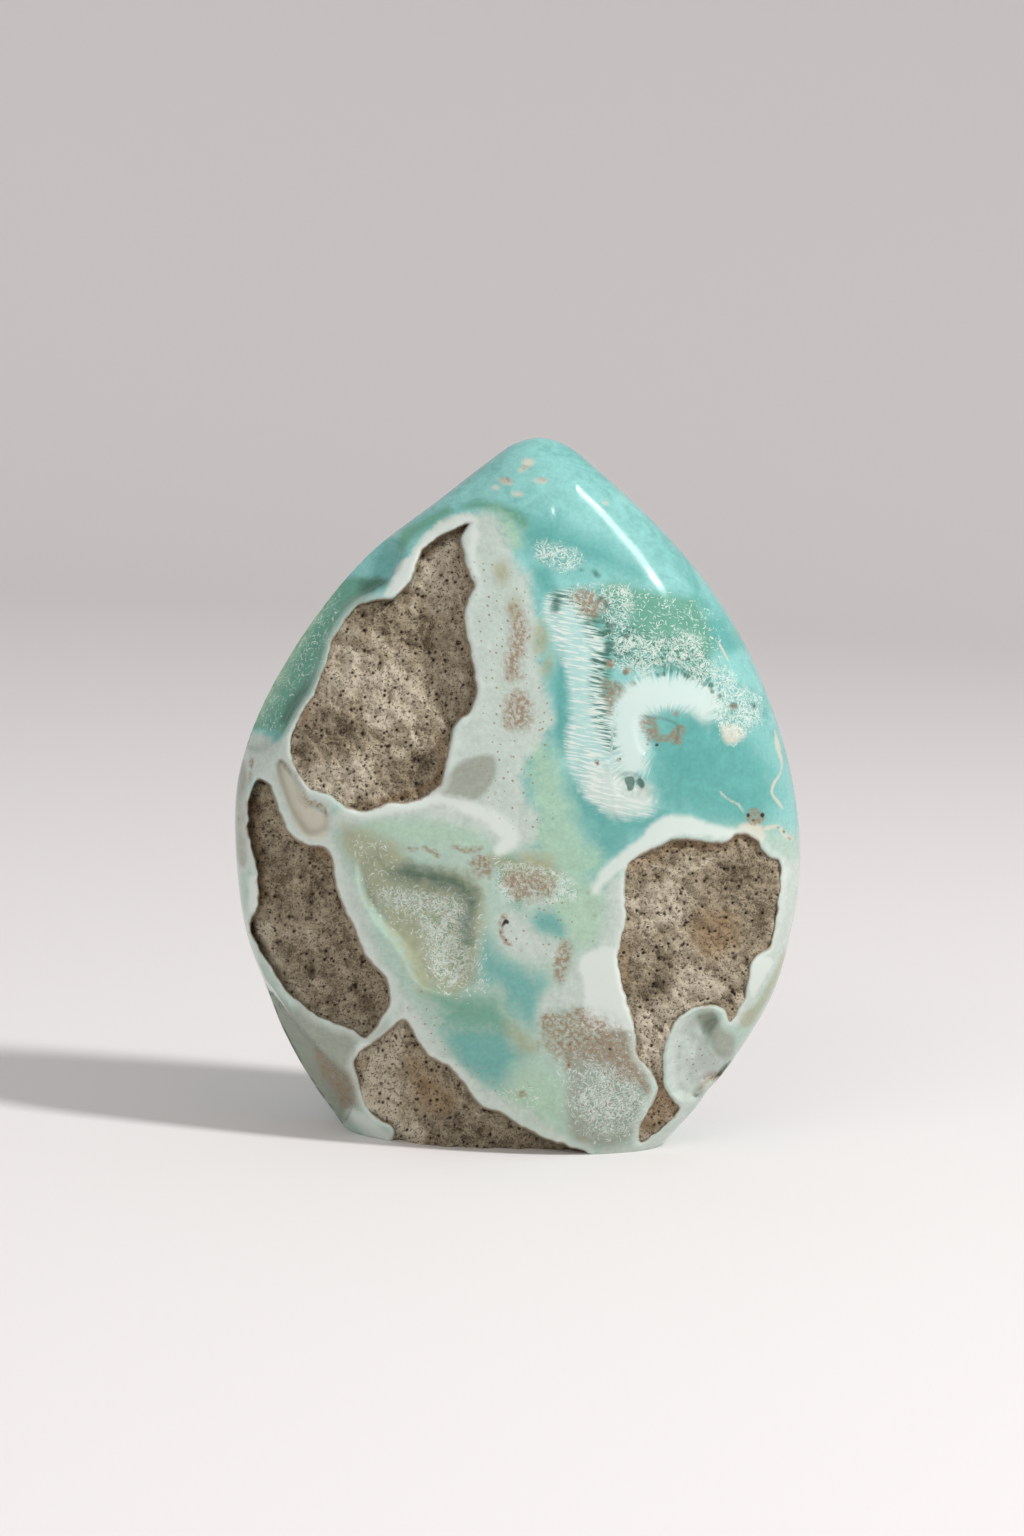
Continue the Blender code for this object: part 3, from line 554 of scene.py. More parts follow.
        spots(0.08, "10.2,51,0.18,0.2,0 13.1,51.8,0.16,0.14,0"),
        # dark point above the comb
        spots(0.1, "14.5,62,0.18,0.14,0"),
    ],
    "comb": [
        # long comb
        patch(0.8, """
    1.8,72 3.5,73.6 5.9,73.4 7.6,70.5 8.6,69.1 9.8,68.2 10.3,65.5 10.1,63.1 10.2,58.9 10.6,57.1
    11.8,54.1 12.9,51.1 13.7,48.2 12.3,46.6 10.4,47.7 8.8,49.1 7.8,51.5 6.9,55 6.1,58.6 5.5,62.8
    4.3,65.2 2.9,68.1"""),
        # round the holes
        patch(0.9, """
    5.7,53.7 6.2,57.1 6.5,59.3 12,59.6 12.6,55.2 13.3,50.8 14.9,47.3 17.9,46.6 18,44.8 15.3,44.2
    12.2,44.5 9.9,45.7 8,47.8 6.5,50.4"""),
    ],
    "lace": [
        # under the sea green
        patch(0.9, """
    10.2,71.6 11.6,71 13,69.9 14.2,69.1 16.2,68.1 19.7,69 21,69.5 22.7,68.5 24.4,65.7 25.6,64 23.7,62.3
    21.8,63.3 20,65 17.8,64.4 15.6,63 13.8,63.3 11.8,64.1 11.2,67.2 10.1,69.3"""),
        # right of the star
        patch(0.8, """
    5.2,73.5 7.4,74.7 10.1,74.7 13.2,74.6 13.6,71.1 12.5,70.3 9.8,71.5 7.4,70.7 5.3,72.2"""),
        # cream fan at the right
        patch(0.8, """
    24.4,64.8 26.6,64.9 28.1,62.8 30.8,61.6 31.6,59.4 31.1,57.1 28.5,55.7 26.2,56.9 25.4,59 24.6,62.1"""),
        # crystal hollow
        patch(0.8, """
    -16.4,33.2 -12.7,32.8 -9.3,32.3 -5.8,30.8 -6,27.4 -5.4,24 -6.2,21.6 -8.6,20.1 -10.4,22.1 -11.3,25.4
    -12.8,29.4 -15.9,30.2 -17.7,31.8"""),
        # speckled field
        patch(0.8, "-2.3,36.4 1.3,36.9 5.6,36.2 8.1,34.2 7.6,32.7 -1.2,32.2"),
        # fan under the gloss
        patch(0.9, "0.1,80.1 3.1,79.8 6.2,78.7 5.8,77 3.3,76.8 0.7,78"),
        # fibres of the grey zone
        patch(1.2, "11,10.7 17.1,11 19,5 14.5,2.1 10.3,4.5"),
    ],
    "flecks": [
        # crystal hollow
        patch(0.9, """
    -21.8,39.2 -17.8,38.9 -15.9,36.5 -14.5,34 -9.3,33.3 -5,32.2 -3.6,27.5 -3.2,22.5 -3.5,19.7 -8.5,19.1
    -10.7,22 -12.3,26.2 -17.2,28.8 -19.4,31.7 -21.3,35.8"""),
        # upper side hollow
        patch(0.7, """
    -26.7,71 -25.2,70.6 -26.4,65.3 -27.7,62.2 -30.1,59.3 -31.7,56.8 -32.3,53.7 -35.2,53.1 -34.8,55.6
    -32,62 -29.3,67.1"""),
        # sea green field
        patch(1.0, """
    12.7,75 16.3,74.1 19.5,73.4 23.1,72.7 25.3,69.1 25.7,65.7 23,66.5 17.6,67.1 14.2,68.9 12.7,71.7"""),
        # cream granules
        patch(0.6, "26,57.3 28.4,57.7 30,56.4 29,54.6 26.8,54.7"),
        # speckled field
        patch(0.8, "-2.8,37.2 0.6,37 0.9,30.8 -0.9,32.7"),
        # speckle low down
        patch(0.7, "-0.3,7.2 3.7,7.5 5.3,5.8 2.3,4.6 -0.7,5.5"),
        # grey zone low on the right
        patch(1.0, "7.6,15.6 15.7,17.1 20.3,9.1 20.6,3 14.6,0.6 8.2,4.4"),
    ],
    "specks": [
        # pale field
        patch(1.2, """
    -8.5,76.6 -4.6,77.4 -0.5,74.6 1,68.6 2.3,62.7 4.4,56.7 4.2,50.6 5.1,44.6 3.5,41.5 -1.1,41.9
    -4.3,45.6 -5.3,52.2 -5.9,58 -7.5,65.1"""),
        # band of the lower left
        patch(1.0, """
    -14.5,20.2 -10.7,18.9 -6.6,12.1 -0.8,8 3.6,8.9 2.8,6.2 -1.8,6.7 -7.7,10.1 -12.7,15.3"""),
        # oval and speckled field
        patch(0.7, "0.2,33.4 4.7,34.2 8.8,30.9 12,27.4 9.1,26.5 6.7,25.3 2.7,24.1 0.1,26.7 -0.1,30.4"),
        # recess at the lower right
        patch(0.6, "22.4,14.1 24.5,17.7 27.7,13.8 27.9,10.3 24.2,7.7"),
        # fibrous zone
        patch(0.8, "8.9,12.5 15.8,13.4 19,9.6 18.4,2.5 14.1,0.3 9.4,3"),
    ],
}
# The back, as an eye behind the stone sees it. It carries on the bands that leave the front at the edge.
BACK_MINERALS = {
    "teal": [
        patch(3.0, "-30,60 -22,72 -12,78 -10,66 -14,52 -24,44 -33,48"),
        patch(2.5, "12,36 22,40 28,30 22,16 12,12 6,22"),
    ],
    "aqua": [
        patch(4.0, "-14,78 0,90 14,80 18,70 6,76 -8,74"),
        patch(3.0, "-34,44 -26,42 -24,34 -32,28 -36,36"),
    ],
    "sea_green": [
        patch(2.0, "20,66 27,66 32,58 30,50 24,50 18,58"),
        patch(2.0, "-6,46 4,46 6,36 0,28 -6,36"),
    ],
    "leaf_green": [
        patch(2.5, "-8,78 2,76 -6,70 -10,60 -8,50 -13,56 -14,68"),
        patch(2.0, "0,28 8,34 10,20 4,8 -2,12"),
    ],
    "mist": [
        band(1.0, """
    -6,74,1.5 4,75,1.6 13,70,1.5 18.5,60,1.6 16,51,2 8,46.5,2.2 -1,49,1.8 -7.5,56.5,1.6 -9,65,1.5
    -6,74,1.5"""),
        band(1.0, """
    -26,32,1.6 -17,36.5,1.8 -7,32,1.8 -3.5,24,2 -7,13,1.8 -15,7,1.6 -23,12,1.6 -27.5,21,1.6 -26,32,1.6"""),
        band(1.2, "8,46,2 4,38,2.2 -3,32,2"),
        patch(1.5, "26,48 34,52 38,44 37,30 32,22 27,30"),
    ],
    "white": [
        band(0.5, """
    -5,72.2,0.5 4.5,73.6,0.6 12.4,68.4,0.6 17.2,60.2,0.7 15.4,52.2,0.8 8,48.4,0.7 0.4,50.8,0.5"""),
        band(0.5, "-23.4,30.6,0.5 -16.2,34.8,0.7 -8,31,0.7 -5.2,23.6,0.8 -8.6,14.2,0.6"),
        band(0.6, "20,44,0.8 26,47,0.6 30,44,0.5"),
    ],
    "cream": [band(0.4, "22,62,0.3 26,54,0.3 25,46,0.2")],
    "smoke": [patch(1.2, "-2,12 8,10 14,4 10,-4 -6,-4 -10,4")],
    "olive": [patch(1.5, "-12,46 -6,44 -8,38 -16,38")],
    "dark_green": [spots(0.3, "24,58,0.8,0.4,20 26,55,0.6,0.3,-20 0,40,0.6,0.4,0")],
    "brown": [
        spots(0.3, "20,47,0.8,0.5,0 -12,42,0.6,0.4,20 2,20,0.5,0.8,0 -28,36,0.4,0.3,0"),
        patch(0.8, "4,5 12,6 14,0 6,-1"),
    ],
    "pit": [spots(0.1, "20.2,47.2,0.2,0.15,0 2,20.4,0.15,0.2,0")],
    "comb": [patch(1.0, "18,66 23,66 25,52 20,46 17,52 19,60")],
    "lace": [
        patch(1.2, "22,66 28,62 31,54 26,50 21,56"),
        patch(1.2, "-4,44 4,44 4,36 -4,36"),
    ],
    "flecks": [patch(1.5, "-12,82 4,86 10,78 -6,76")],
    "specks": [patch(2.0, "4,46 14,48 12,34 2,26 -4,34")],
}


# Lighter, darker and rusty places on the rough floors. The lighter places are partly painted light on ridges
# that face the light, and the darker ones partly painted shade under walls and ledges; the rest is the
# matrix's own tone, and the rusty places are iron stains.
MATRIX_TONES = {
    "upper_window": {
        "light": [
            patch(1.0, "-16.4,78.4 -11.2,80.7 -10.4,72.7 -14.7,72.2 -16.6,75.4"),
            band(0.4, "-20.8,67.1,0.2 -18.3,64.6,0.45 -15.5,62.1,0.4"),
            patch(1.2, "-26.3,64.2 -20.6,63.2 -20.3,59.2 -24.6,58.3 -26.7,60.1"),
            patch(1.2, "-20.5,61.8 -16.8,62 -13.3,58.2 -15.1,54.8 -20,53.2 -21.3,57.8"),
            band(0.5, "-16.5,57,0.3 -14.8,55.5,0.5 -14.6,52.8,0.4 -16.5,50.4,0.3"),
            patch(1.0, "-28.7,48 -22.2,51.4 -19.4,47.9 -23.2,44 -27.2,45.4"),
        ],
        "dark": [
            patch(1.0, "-22.9,70 -20.4,71.5 -17.6,69.3 -19.1,67.2 -22.1,67.1 -23.9,68.3"),
            patch(1.2, "-17.9,68.6 -13.2,69.2 -10.4,66.4 -12.9,62.9 -15.6,64.8 -17.7,66.6"),
            band(1.0, "-8.7,65.8,0.5 -7,62.6,0.8 -6.6,60.6,0.9 -6.9,58.2,0.7 -8.5,55.8,0.6"),
            band(0.8, "-9.8,55.1,0.4 -10.3,52,0.4 -10.6,48.7,0.5 -12,46.9,0.4"),
            patch(1.0, "-29.7,53.3 -27.2,56.1 -23.5,55.6 -21.1,54.4 -21.2,50.8 -24.8,49.2 -28.8,49.3"),
            patch(1.2, "-18.1,49.3 -12.2,51.6 -12,47.6 -15.9,46.4"),
            spots(0.5, "-22.3,55,0.6,0.5,0 -16.4,54.5,0.3,0.4,0 -19.1,48.5,0.4,0.5,0"),
        ],
        "rust": [
            band(0.7, "-25.2,68.2,0.3 -26.3,64.2,0.3 -27.7,59.4,0.3 -29.4,54.3,0.3"),
            band(0.7, "-8.9,81.8,0.3 -11.8,80,0.4 -14.4,77.5,0.3"),
            band(0.7, "-11,53.7,0.3 -11,47.7,0.4 -16.5,45,0.4 -20.5,43.8,0.4"),
        ],
    },
    "left_window": {
        "light": [
            patch(0.7, """
    -34.6,27.3 -32.2,25.8 -29.9,21.6 -27.1,18.1 -22.2,15.3 -17.4,13.2 -22.1,13.3 -28.2,15.3 -32.2,19.8
    -34.7,24.3"""),
            spots(0.5, "-25.5,19.8,0.9,1,0 -34.3,43.7,0.3,0.5,0 -28.9,33,0.6,0.5,0"),
        ],
        "dark": [
            patch(1.5, """
    -27.5,38.4 -24.1,36.6 -21.2,27.7 -18.6,22.9 -15,18.1 -17.5,14.2 -21,17.1 -24,23.6 -26.4,30.8
    -29.1,36.6"""),
            patch(1.5, """
    -35.3,46 -33.3,45.4 -31.3,40.2 -26.4,36.8 -26,29.5 -30.2,27.2 -33.4,30.4 -34.8,37"""),
            patch(1.2, "-31.8,25.1 -26.8,25.4 -21.9,21 -21.6,15.7 -25.3,16.8 -29.2,21.3"),
        ],
        "rust": [
            band(0.8, "-35.3,43.6,0.3 -34.5,37,0.4 -33.5,31.7,0.4 -34.8,28,0.3 -33.4,23.7,0.3"),
            band(0.8, "-28.2,38.4,0.3 -24.7,36.5,0.4 -23.2,33.6,0.3"),
        ],
    },
    "lower_window": {
        "light": [
            patch(0.8, "-19.1,7.2 -14.3,7.9 -13.2,2.3 -10.2,0.1 -11.4,-1.2 -17.4,-0.7 -20,2.4"),
            patch(0.8, "-16.7,15.4 -13.9,15.6 -13.3,11.2 -15.1,8.7 -18.3,8.5 -17.7,11.7"),
            spots(0.2, """
    -11.5,1.2,0.5,0.25,20 -14.8,3.1,0.4,0.2,-20 -18.1,4.5,0.3,0.3,0 -17.5,10.5,0.4,0.2,30
    -10.3,0.7,0.2,0.4,0"""),
        ],
        "dark": [
            band(1.2, "-12.8,13.2,0.4 -8.3,9.4,0.8 -3.3,4.9,0.9 1.3,2.8,0.9 7.9,-0.5,0.8 11.9,-1.1,0.5"),
            patch(1.2, "-9.6,3.7 -4.4,3.6 1.4,0.7 7.9,-0.9 -2.5,-1.5 -7.7,-1.4 -9.5,0.9"),
        ],
        "rust": [
            patch(1.2, "-12.4,10.4 -9.1,7.8 -6.1,5.2 -8,3.4 -11.8,5.6"),
        ],
    },
    "right_window": {
        "light": [
            patch(1.2, "16,34 20.5,36 23.4,34.4 22.2,30.1 18,29.2 15.9,30.5"),
            patch(1.2, "23.9,24.6 28.9,23.5 27,19.8 22.8,19.6 20.9,22.3"),
            patch(1.0, "17.5,19.3 22.5,18.9 21.8,12.5 20.5,10.3 17.9,13.7"),
            band(0.5, "18.6,37.7,0.3 22.9,37.5,0.4 26.6,39.5,0.3"),
        ],
        "dark": [
            band(1.0, "16.6,36.5,0.5 19.1,36.3,0.5 21.6,40.3,0.7 25.1,40.5,0.8 28.7,40.7,0.6"),
            patch(1.4, "26,38.4 30.7,41.1 34.8,37.9 34.2,29.4 30.8,27.1 29.8,32.7 26.2,33.9 23.3,35.8"),
            patch(1.2, "15.2,24.1 19,24.3 20.3,27.2 22.4,25.9 20.7,20.2 16.8,20"),
            band(0.8, "31.1,22.2,0.4 28.7,20.3,0.4 20.9,9,0.4"),
        ],
        "rust": [
            patch(1.5, "24.6,32 28.8,32.2 30.4,29.2 27.4,25.8 24.1,28.1"),
            band(1.0, "14.9,29,0.4 14.9,25.5,0.5 16,21.3,0.3"),
            band(1.0, "15.5,37.5,0.4 18.2,39,0.5 21.6,41,0.5 25.8,40.9,0.5 30,42.2,0.5 33.5,41.3,0.4"),
            patch(1.0, "19.9,8.9 22,8 23.6,5.9 20.2,2.6 18.4,3.2"),
        ],
    },
}


def linear(text):
    """The linear colour of an sRGB hex value such as "8FC4B8"."""
    parts = [int(text[i:i + 2], 16) / 255.0 for i in (0, 2, 4)]
    return tuple(c / 12.92 if c <= 0.04045 else ((c + 0.055) / 1.055) ** 2.4 for c in parts)


def colour_setting(name, description, text):
    return FloatVectorProperty(
        name=name, description=description, subtype="COLOR", size=3, min=0.0, max=1.0, default=linear(text)
    )


def length_setting(name, description, value):
    return FloatProperty(name=name, description=description, unit="LENGTH", min=0.0, default=value)


class StoneSettings(bpy.types.PropertyGroup):
    """Sizes and colours of the polished stone."""

    front_step: length_setting("Front step", "Distance between the mesh points of the front", 0.00036)
    back_step: length_setting("Back step", "Distance between the mesh points of the back", 0.00062)
    lip: length_setting("Lip", "How wide the polishing has rounded the edge of a window", 0.0006)
    aqua: colour_setting("Aqua", "Light blue aragonite of the tip and the right side", "86BFBA")
    teal: colour_setting("Teal", "Deep blue-green aragonite", "549C96")
    mint: colour_setting("Mint", "Pale green-white ground of the lower face", "A6BEB0")
    sea_green: colour_setting("Sea green", "Green aragonite under the white lace", "5C957F")
    leaf_green: colour_setting("Leaf green", "Pale green between white and teal", "A2C0A6")
    mist: colour_setting("Mist", "Whitish translucent field", "B9C4BB")
    white: colour_setting("White", "Chalky white veins and crystals", "D0D9D2")
    curl: colour_setting("Curl", "Milky blue-white ring", "C4D6D1")
    cream: colour_setting("Cream", "Warm off-white veins", "C8C4B3")
    smoke: colour_setting("Smoke", "Grey translucent parts", "8D9284")
    olive: colour_setting("Olive", "Yellow-green hazes", "9A9976")
    deep_green: colour_setting("Deep green", "Clear blue-green between the white crystals", "3F8575")
    # Dark green also paints the shade under the walls of the hollows and inside the two-lobed hole.
    dark_green: colour_setting("Dark green", "Gaps between the crystals", "2F5C4F")
    # Brown also paints the shade along the wall of the cream channel.
    brown: colour_setting("Brown", "Iron stained grains", "8B7359")
    # Pit is the painted shade inside small open holes.
    pit: colour_setting("Pit", "Small open holes", "1E1A14")


class MatrixSettings(bpy.types.PropertyGroup):
    """Sizes and colours of the rough matrix."""

    step: length_setting("Step", "Distance between the mesh points of a window's floor", 0.000135)
    # Light: the colour of paler grains, and of painted light on the high grains.
    light: colour_setting("Light", "Worn high grains", "C2B8A4")
    middle: colour_setting("Middle", "Broken matrix", "978B75")
    # Dark: the colour of darker grains, and of painted shade in the hollows and gaps between grains.
    dark: colour_setting("Dark", "Hollows and the gaps between grains", "5F5342")
    # Pore: painted shade inside the fine open pores.
    pore: colour_setting("Pore", "Fine open pores", "3A3025")
    rust: colour_setting("Rust", "Iron stains", "8A6E4C")


class StudioSettings(bpy.types.PropertyGroup):
    """The plain studio."""

    floor: colour_setting("Floor", "The pale floor and the sweep round it", "E6E3E2")
    flat_radius: length_setting("Flat radius", "How far the floor stays flat", 0.8)
    sweep_radius: length_setting("Sweep radius", "How far out the sweep reaches", 1.7)
    sweep_height: length_setting("Sweep height", "How high the sweep rises", 0.8)


def smooth_step(low, high, value):
    """0 up to low, 1 from high, and a soft curve between them."""
    share = np.clip((np.asarray(value, float) - low) / (high - low), 0.0, 1.0)
    return share * share * (3.0 - 2.0 * share)


def to_part(u, v, y):
    """The x and z of the stone at depth y that the eye sees at (u, v)."""
    rise = v - FOOT_V
    share = (y - EYE[1]) / (rise * math.sin(EYE_TILT) - EYE[1])
    x = EYE[0] + share * (u - EYE[0])
    z = EYE[2] + share * (rise * math.cos(EYE_TILT) - EYE[2])
    return x, z


def to_eye(x, y, z):
    """The (u, v) at which the eye sees a point of the stone."""
    dy = y - EYE[1]
    dz = z - EYE[2]
    rise = (EYE[1] * dz - EYE[2] * dy) / (math.sin(EYE_TILT) * dz - math.cos(EYE_TILT) * dy)
    share = dy / (rise * math.sin(EYE_TILT) - EYE[1])
    return EYE[0] + (x - EYE[0]) / share, rise + FOOT_V


def through_points(points, step, closed=True):
    """A smooth line through the points, with a point about every step along it."""
    found = []
    count = len(points)
    for i in range(count if closed else count - 1):
        if closed:
            near = [points[(i + k - 1) % count] for k in range(4)]
        else:
            near = [points[min(max(i + k - 1, 0), count - 1)] for k in range(4)]
        p0, p1, p2, p3 = (np.array(p, float) for p in near)
        pieces = max(1, round(float(np.linalg.norm((p2 - p1)[:2])) / step))
        for k in range(pieces):
            t = k / pieces
            bend = (2 * p0 - 5 * p1 + 4 * p2 - p3) * t * t + (3 * p1 - p0 - 3 * p2 + p3) * t ** 3
            found.append(0.5 * (2 * p1 + (p2 - p0) * t + bend))
    if not closed:
        found.append(np.array(points[-1], float))
    return np.array(found)


def edge_tables():
    """The stone's edge round the form's centre: sorted angles, their radii, and the radii rounded off."""
    line = through_points(STONE_EDGE, 0.5)
    x, z = to_part(line[:, 0], line[:, 1], 0.0)
    angle = np.arctan2(z - FORM_CENTRE[1], x - FORM_CENTRE[0])
    radius = np.hypot(x - FORM_CENTRE[0], z - FORM_CENTRE[1])
    order = np.argsort(angle)
    even = np.linspace(-math.pi, math.pi, 720, endpoint=False)
    sharp = np.interp(even, angle[order], radius[order], period=2 * math.pi)
    weights = np.exp(-0.5 * (np.arange(-120, 121) / 2.0 / 17.0) ** 2)
    weights /= weights.sum()
    wrapped = np.concatenate([sharp[-120:], sharp, sharp[:120]])
    return angle[order], radius[order], even, np.convolve(wrapped, weights, "valid"), (x.min() + x.max()) / 2


EDGE_ANGLE, EDGE_RADIUS, EVEN_ANGLE, ROUNDED_RADIUS, MIDDLE_X = edge_tables()
MIDDLE_Y = (BACK_DEPTH - FRONT_DEPTH) / 2
FALL_ANGLE = np.linspace(0.0, math.pi / 2, 600)
FALL_SHARE = np.sin(FALL_ANGLE) ** (2.0 / FORM_POWER)
DEPTH_SHARE = 0.42
FALL_STEPS = np.hypot(np.diff(FALL_SHARE), DEPTH_SHARE * np.diff(np.cos(FALL_ANGLE)))
FALL_LENGTH = np.concatenate([[0.0], np.cumsum(FALL_STEPS)])


def edge_radius(angle):
    return np.interp(angle, EDGE_ANGLE, EDGE_RADIUS, period=2 * math.pi)


def rounded_radius(angle):
    """The radius inside the form, where the outlines of its tip are rounder than its edge."""
    return np.interp(angle, EVEN_ANGLE, ROUNDED_RADIUS, period=2 * math.pi)


def around(x, z):
    """Angle round the form's centre, and how far out (x, z) lies, 1 at the edge."""
    angle = np.arctan2(z - FORM_CENTRE[1], x - FORM_CENTRE[0])
    away = np.hypot(x - FORM_CENTRE[0], z - FORM_CENTRE[1])
    sharp = edge_radius(angle)
    soft = rounded_radius(angle)
    share = away / sharp
    for _ in range(8):
        miss = share * soft + (sharp - soft) * share ** 3 - away
        share = share - miss / (soft + 3.0 * (sharp - soft) * share ** 2)
    return angle, share


def half_depth(x, z, front):
    """The form's depth on its centre line at this height, with the swells that hand polishing leaves."""
    depth = (FRONT_DEPTH if front else BACK_DEPTH) - TIP_THINNING * smooth_step(40.0, 92.0, z)
    swell = 0.35 * np.sin(x / 9.0 + 1.3) * np.cos(z / 11.0 - 0.4) + 0.2 * np.sin(x / 5.5 - z / 8.0)
    return depth + swell


def skin_y(x, z, front):
    """The depth of the polished skin, negative at the front."""
    _, share = around(x, z)
    rise = np.sqrt(np.maximum(0.0, 1.0 - np.clip(share, 0.0, 1.0) ** FORM_POWER))
    return half_depth(x, z, front) * rise * (-1.0 if front else 1.0)


def scoop_y(x, z):
    """A straight fall from the inside of a side hollow to the middle of the stone's edge."""
    angle = np.arctan2(z - FORM_CENTRE[1], x - FORM_CENTRE[0])
    away = np.hypot(x - FORM_CENTRE[0], z - FORM_CENTRE[1])
    return -SCOOP_SLOPE * np.maximum(0.0, edge_radius(angle) - away)


def unroll(x, z):
    """Where a point of the skin lies once the front is unrolled flat."""
    angle, share = around(x, z)
    fall = np.arcsin(np.clip(share, 0.0, 1.0) ** (FORM_POWER / 2.0))
    reach = edge_radius(angle) * np.interp(fall, FALL_ANGLE, FALL_LENGTH)
    return reach * np.cos(angle), reach * np.sin(angle)


def roll(p, q, front):
    """The point of the skin at (p, q) of the unrolled front or back."""
    angle = np.arctan2(q, p)
    sharp = edge_radius(angle)
    soft = rounded_radius(angle)
    fall = np.interp(np.hypot(p, q) / sharp, FALL_LENGTH, FALL_ANGLE)
    share = np.sin(fall) ** (2.0 / FORM_POWER)
    away = share * soft + (sharp - soft) * share ** 3
    x = FORM_CENTRE[0] + away * np.cos(angle)
    z = FORM_CENTRE[1] + away * np.sin(angle)
    return x, half_depth(x, z, front) * np.cos(fall) * (-1.0 if front else 1.0), z


def scattered(i, j, seed):
    """A repeatable random number from 0 to 1 for each pair of whole numbers."""
    n = i.astype(np.int64).astype(np.uint32) * np.uint32(374761393)
    n = n ^ (j.astype(np.int64).astype(np.uint32) * np.uint32(668265263))
    n = n ^ np.uint32((seed * 69069 + 12345) & 0xFFFFFFFF)
    n = (n ^ (n >> np.uint32(13))) * np.uint32(1274126177)
    n = (n ^ (n >> np.uint32(15))) * np.uint32(2246822519)
    n = n ^ (n >> np.uint32(16))
    return n / 4294967296.0


def waves(u, v, size, seed):
    """Smooth noise from about -1 to 1 with lumps about this size."""
    a = np.asarray(u, float) / size
    b = np.asarray(v, float) / size
    i = np.floor(a)
    j = np.floor(b)
    fa = a - i
    fb = b - j
    sa = fa ** 3 * (fa * (fa * 6.0 - 15.0) + 10.0)
    sb = fb ** 3 * (fb * (fb * 6.0 - 15.0) + 10.0)
    corner = []
    for di, dj in ((0, 0), (1, 0), (0, 1), (1, 1)):
        turn = 2.0 * math.pi * scattered(i + di, j + dj, seed)
        corner.append(np.cos(turn) * (fa - di) + np.sin(turn) * (fb - dj))
    low = corner[0] + sa * (corner[1] - corner[0])
    high = corner[2] + sa * (corner[3] - corner[2])
    return 1.5 * (low + sb * (high - low))


def grains(u, v, size, seed):
    """Distance to the nearest of loosely spaced points, in sizes, and a number from 0 to 1 of its own."""
    a = np.asarray(u, float) / size
    b = np.asarray(v, float) / size
    i = np.floor(a)
    j = np.floor(b)
    first = np.full(a.shape, 9.0)
    number = np.zeros(a.shape)
    for di in (-1, 0, 1):
        for dj in (-1, 0, 1):
            ci = i + di
            cj = j + dj
            away = np.hypot(ci + scattered(ci, cj, seed) - a, cj + scattered(ci, cj, seed + 101) - b)
            nearer = away < first
            number = np.where(nearer, scattered(ci, cj, seed + 202), number)
            first = np.where(nearer, away, first)
    return first, number


def rough(u, v, size, seed):
    """Broken lumps about this size, from -1 to 1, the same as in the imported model."""
    found = np.empty(len(u))
    for n, (a, b) in enumerate(zip(u / size, v / size)):
        here = Vector((a, b, seed * 7.3))
        cells = noise.voronoi(here)[0]
        found[n] = noise.noise(here * 0.7) + 0.9 * (cells[1] - cells[0]) - 0.45
    return found


def line_distance(u, v, start, end):
    """Signed distance to the line through start and end, positive on its right."""
    length = math.hypot(end[0] - start[0], end[1] - start[1])
    return ((u - start[0]) * (end[1] - start[1]) - (v - start[1]) * (end[0] - start[0])) / length


def to_line(line, u, v, closed=True):
    """Distance from each (u, v) to a line of points, and the number and share of its nearest stretch."""
    start = line[:, :2] if closed else line[:-1, :2]
    along = (np.roll(line[:, :2], -1, axis=0) if closed else line[1:, :2]) - start
    square = np.maximum((along ** 2).sum(axis=1), 1e-12)
    gap = np.empty(len(u))
    which = np.empty(len(u), int)
    part = np.empty(len(u))
    chunk = max(1, 2_000_000 // len(start))
    for first in range(0, len(u), chunk):
        a = u[first:first + chunk, None] - start[None, :, 0]
        b = v[first:first + chunk, None] - start[None, :, 1]
        share = np.clip((a * along[:, 0] + b * along[:, 1]) / square, 0.0, 1.0)
        away = (a - share * along[:, 0]) ** 2 + (b - share * along[:, 1]) ** 2
        best = away.argmin(axis=1)
        each = np.arange(len(best))
        gap[first:first + chunk] = np.sqrt(away[each, best])
        which[first:first + chunk] = best
        part[first:first + chunk] = share[each, best]
    return gap, which, part


def is_inside(line, u, v):
    """Whether each (u, v) lies inside a closed line."""
    hit = np.zeros(len(u), bool)
    for (u1, v1), (u2, v2) in zip(line[:, :2], np.roll(line[:, :2], -1, axis=0)):
        if v1 != v2:
            crosses = ((v1 > v) != (v2 > v)) & (u < (u2 - u1) * (v - v1) / (v2 - v1) + u1)
            hit ^= crosses
    return hit


def gap_to(line, u, v, margin):
    """Distance in from a closed line, negative outside it and no lower than minus the margin."""
    found = np.full(len(u), -margin)
    low = line.min(axis=0)[:2] - margin
    high = line.max(axis=0)[:2] + margin
    near = (u > low[0]) & (u < high[0]) & (v > low[1]) & (v < high[1])
    if near.any():
        gap = to_line(line, u[near], v[near])[0]
        found[near] = np.maximum(np.where(is_inside(line, u[near], v[near]), gap, -gap), -margin)
    return found


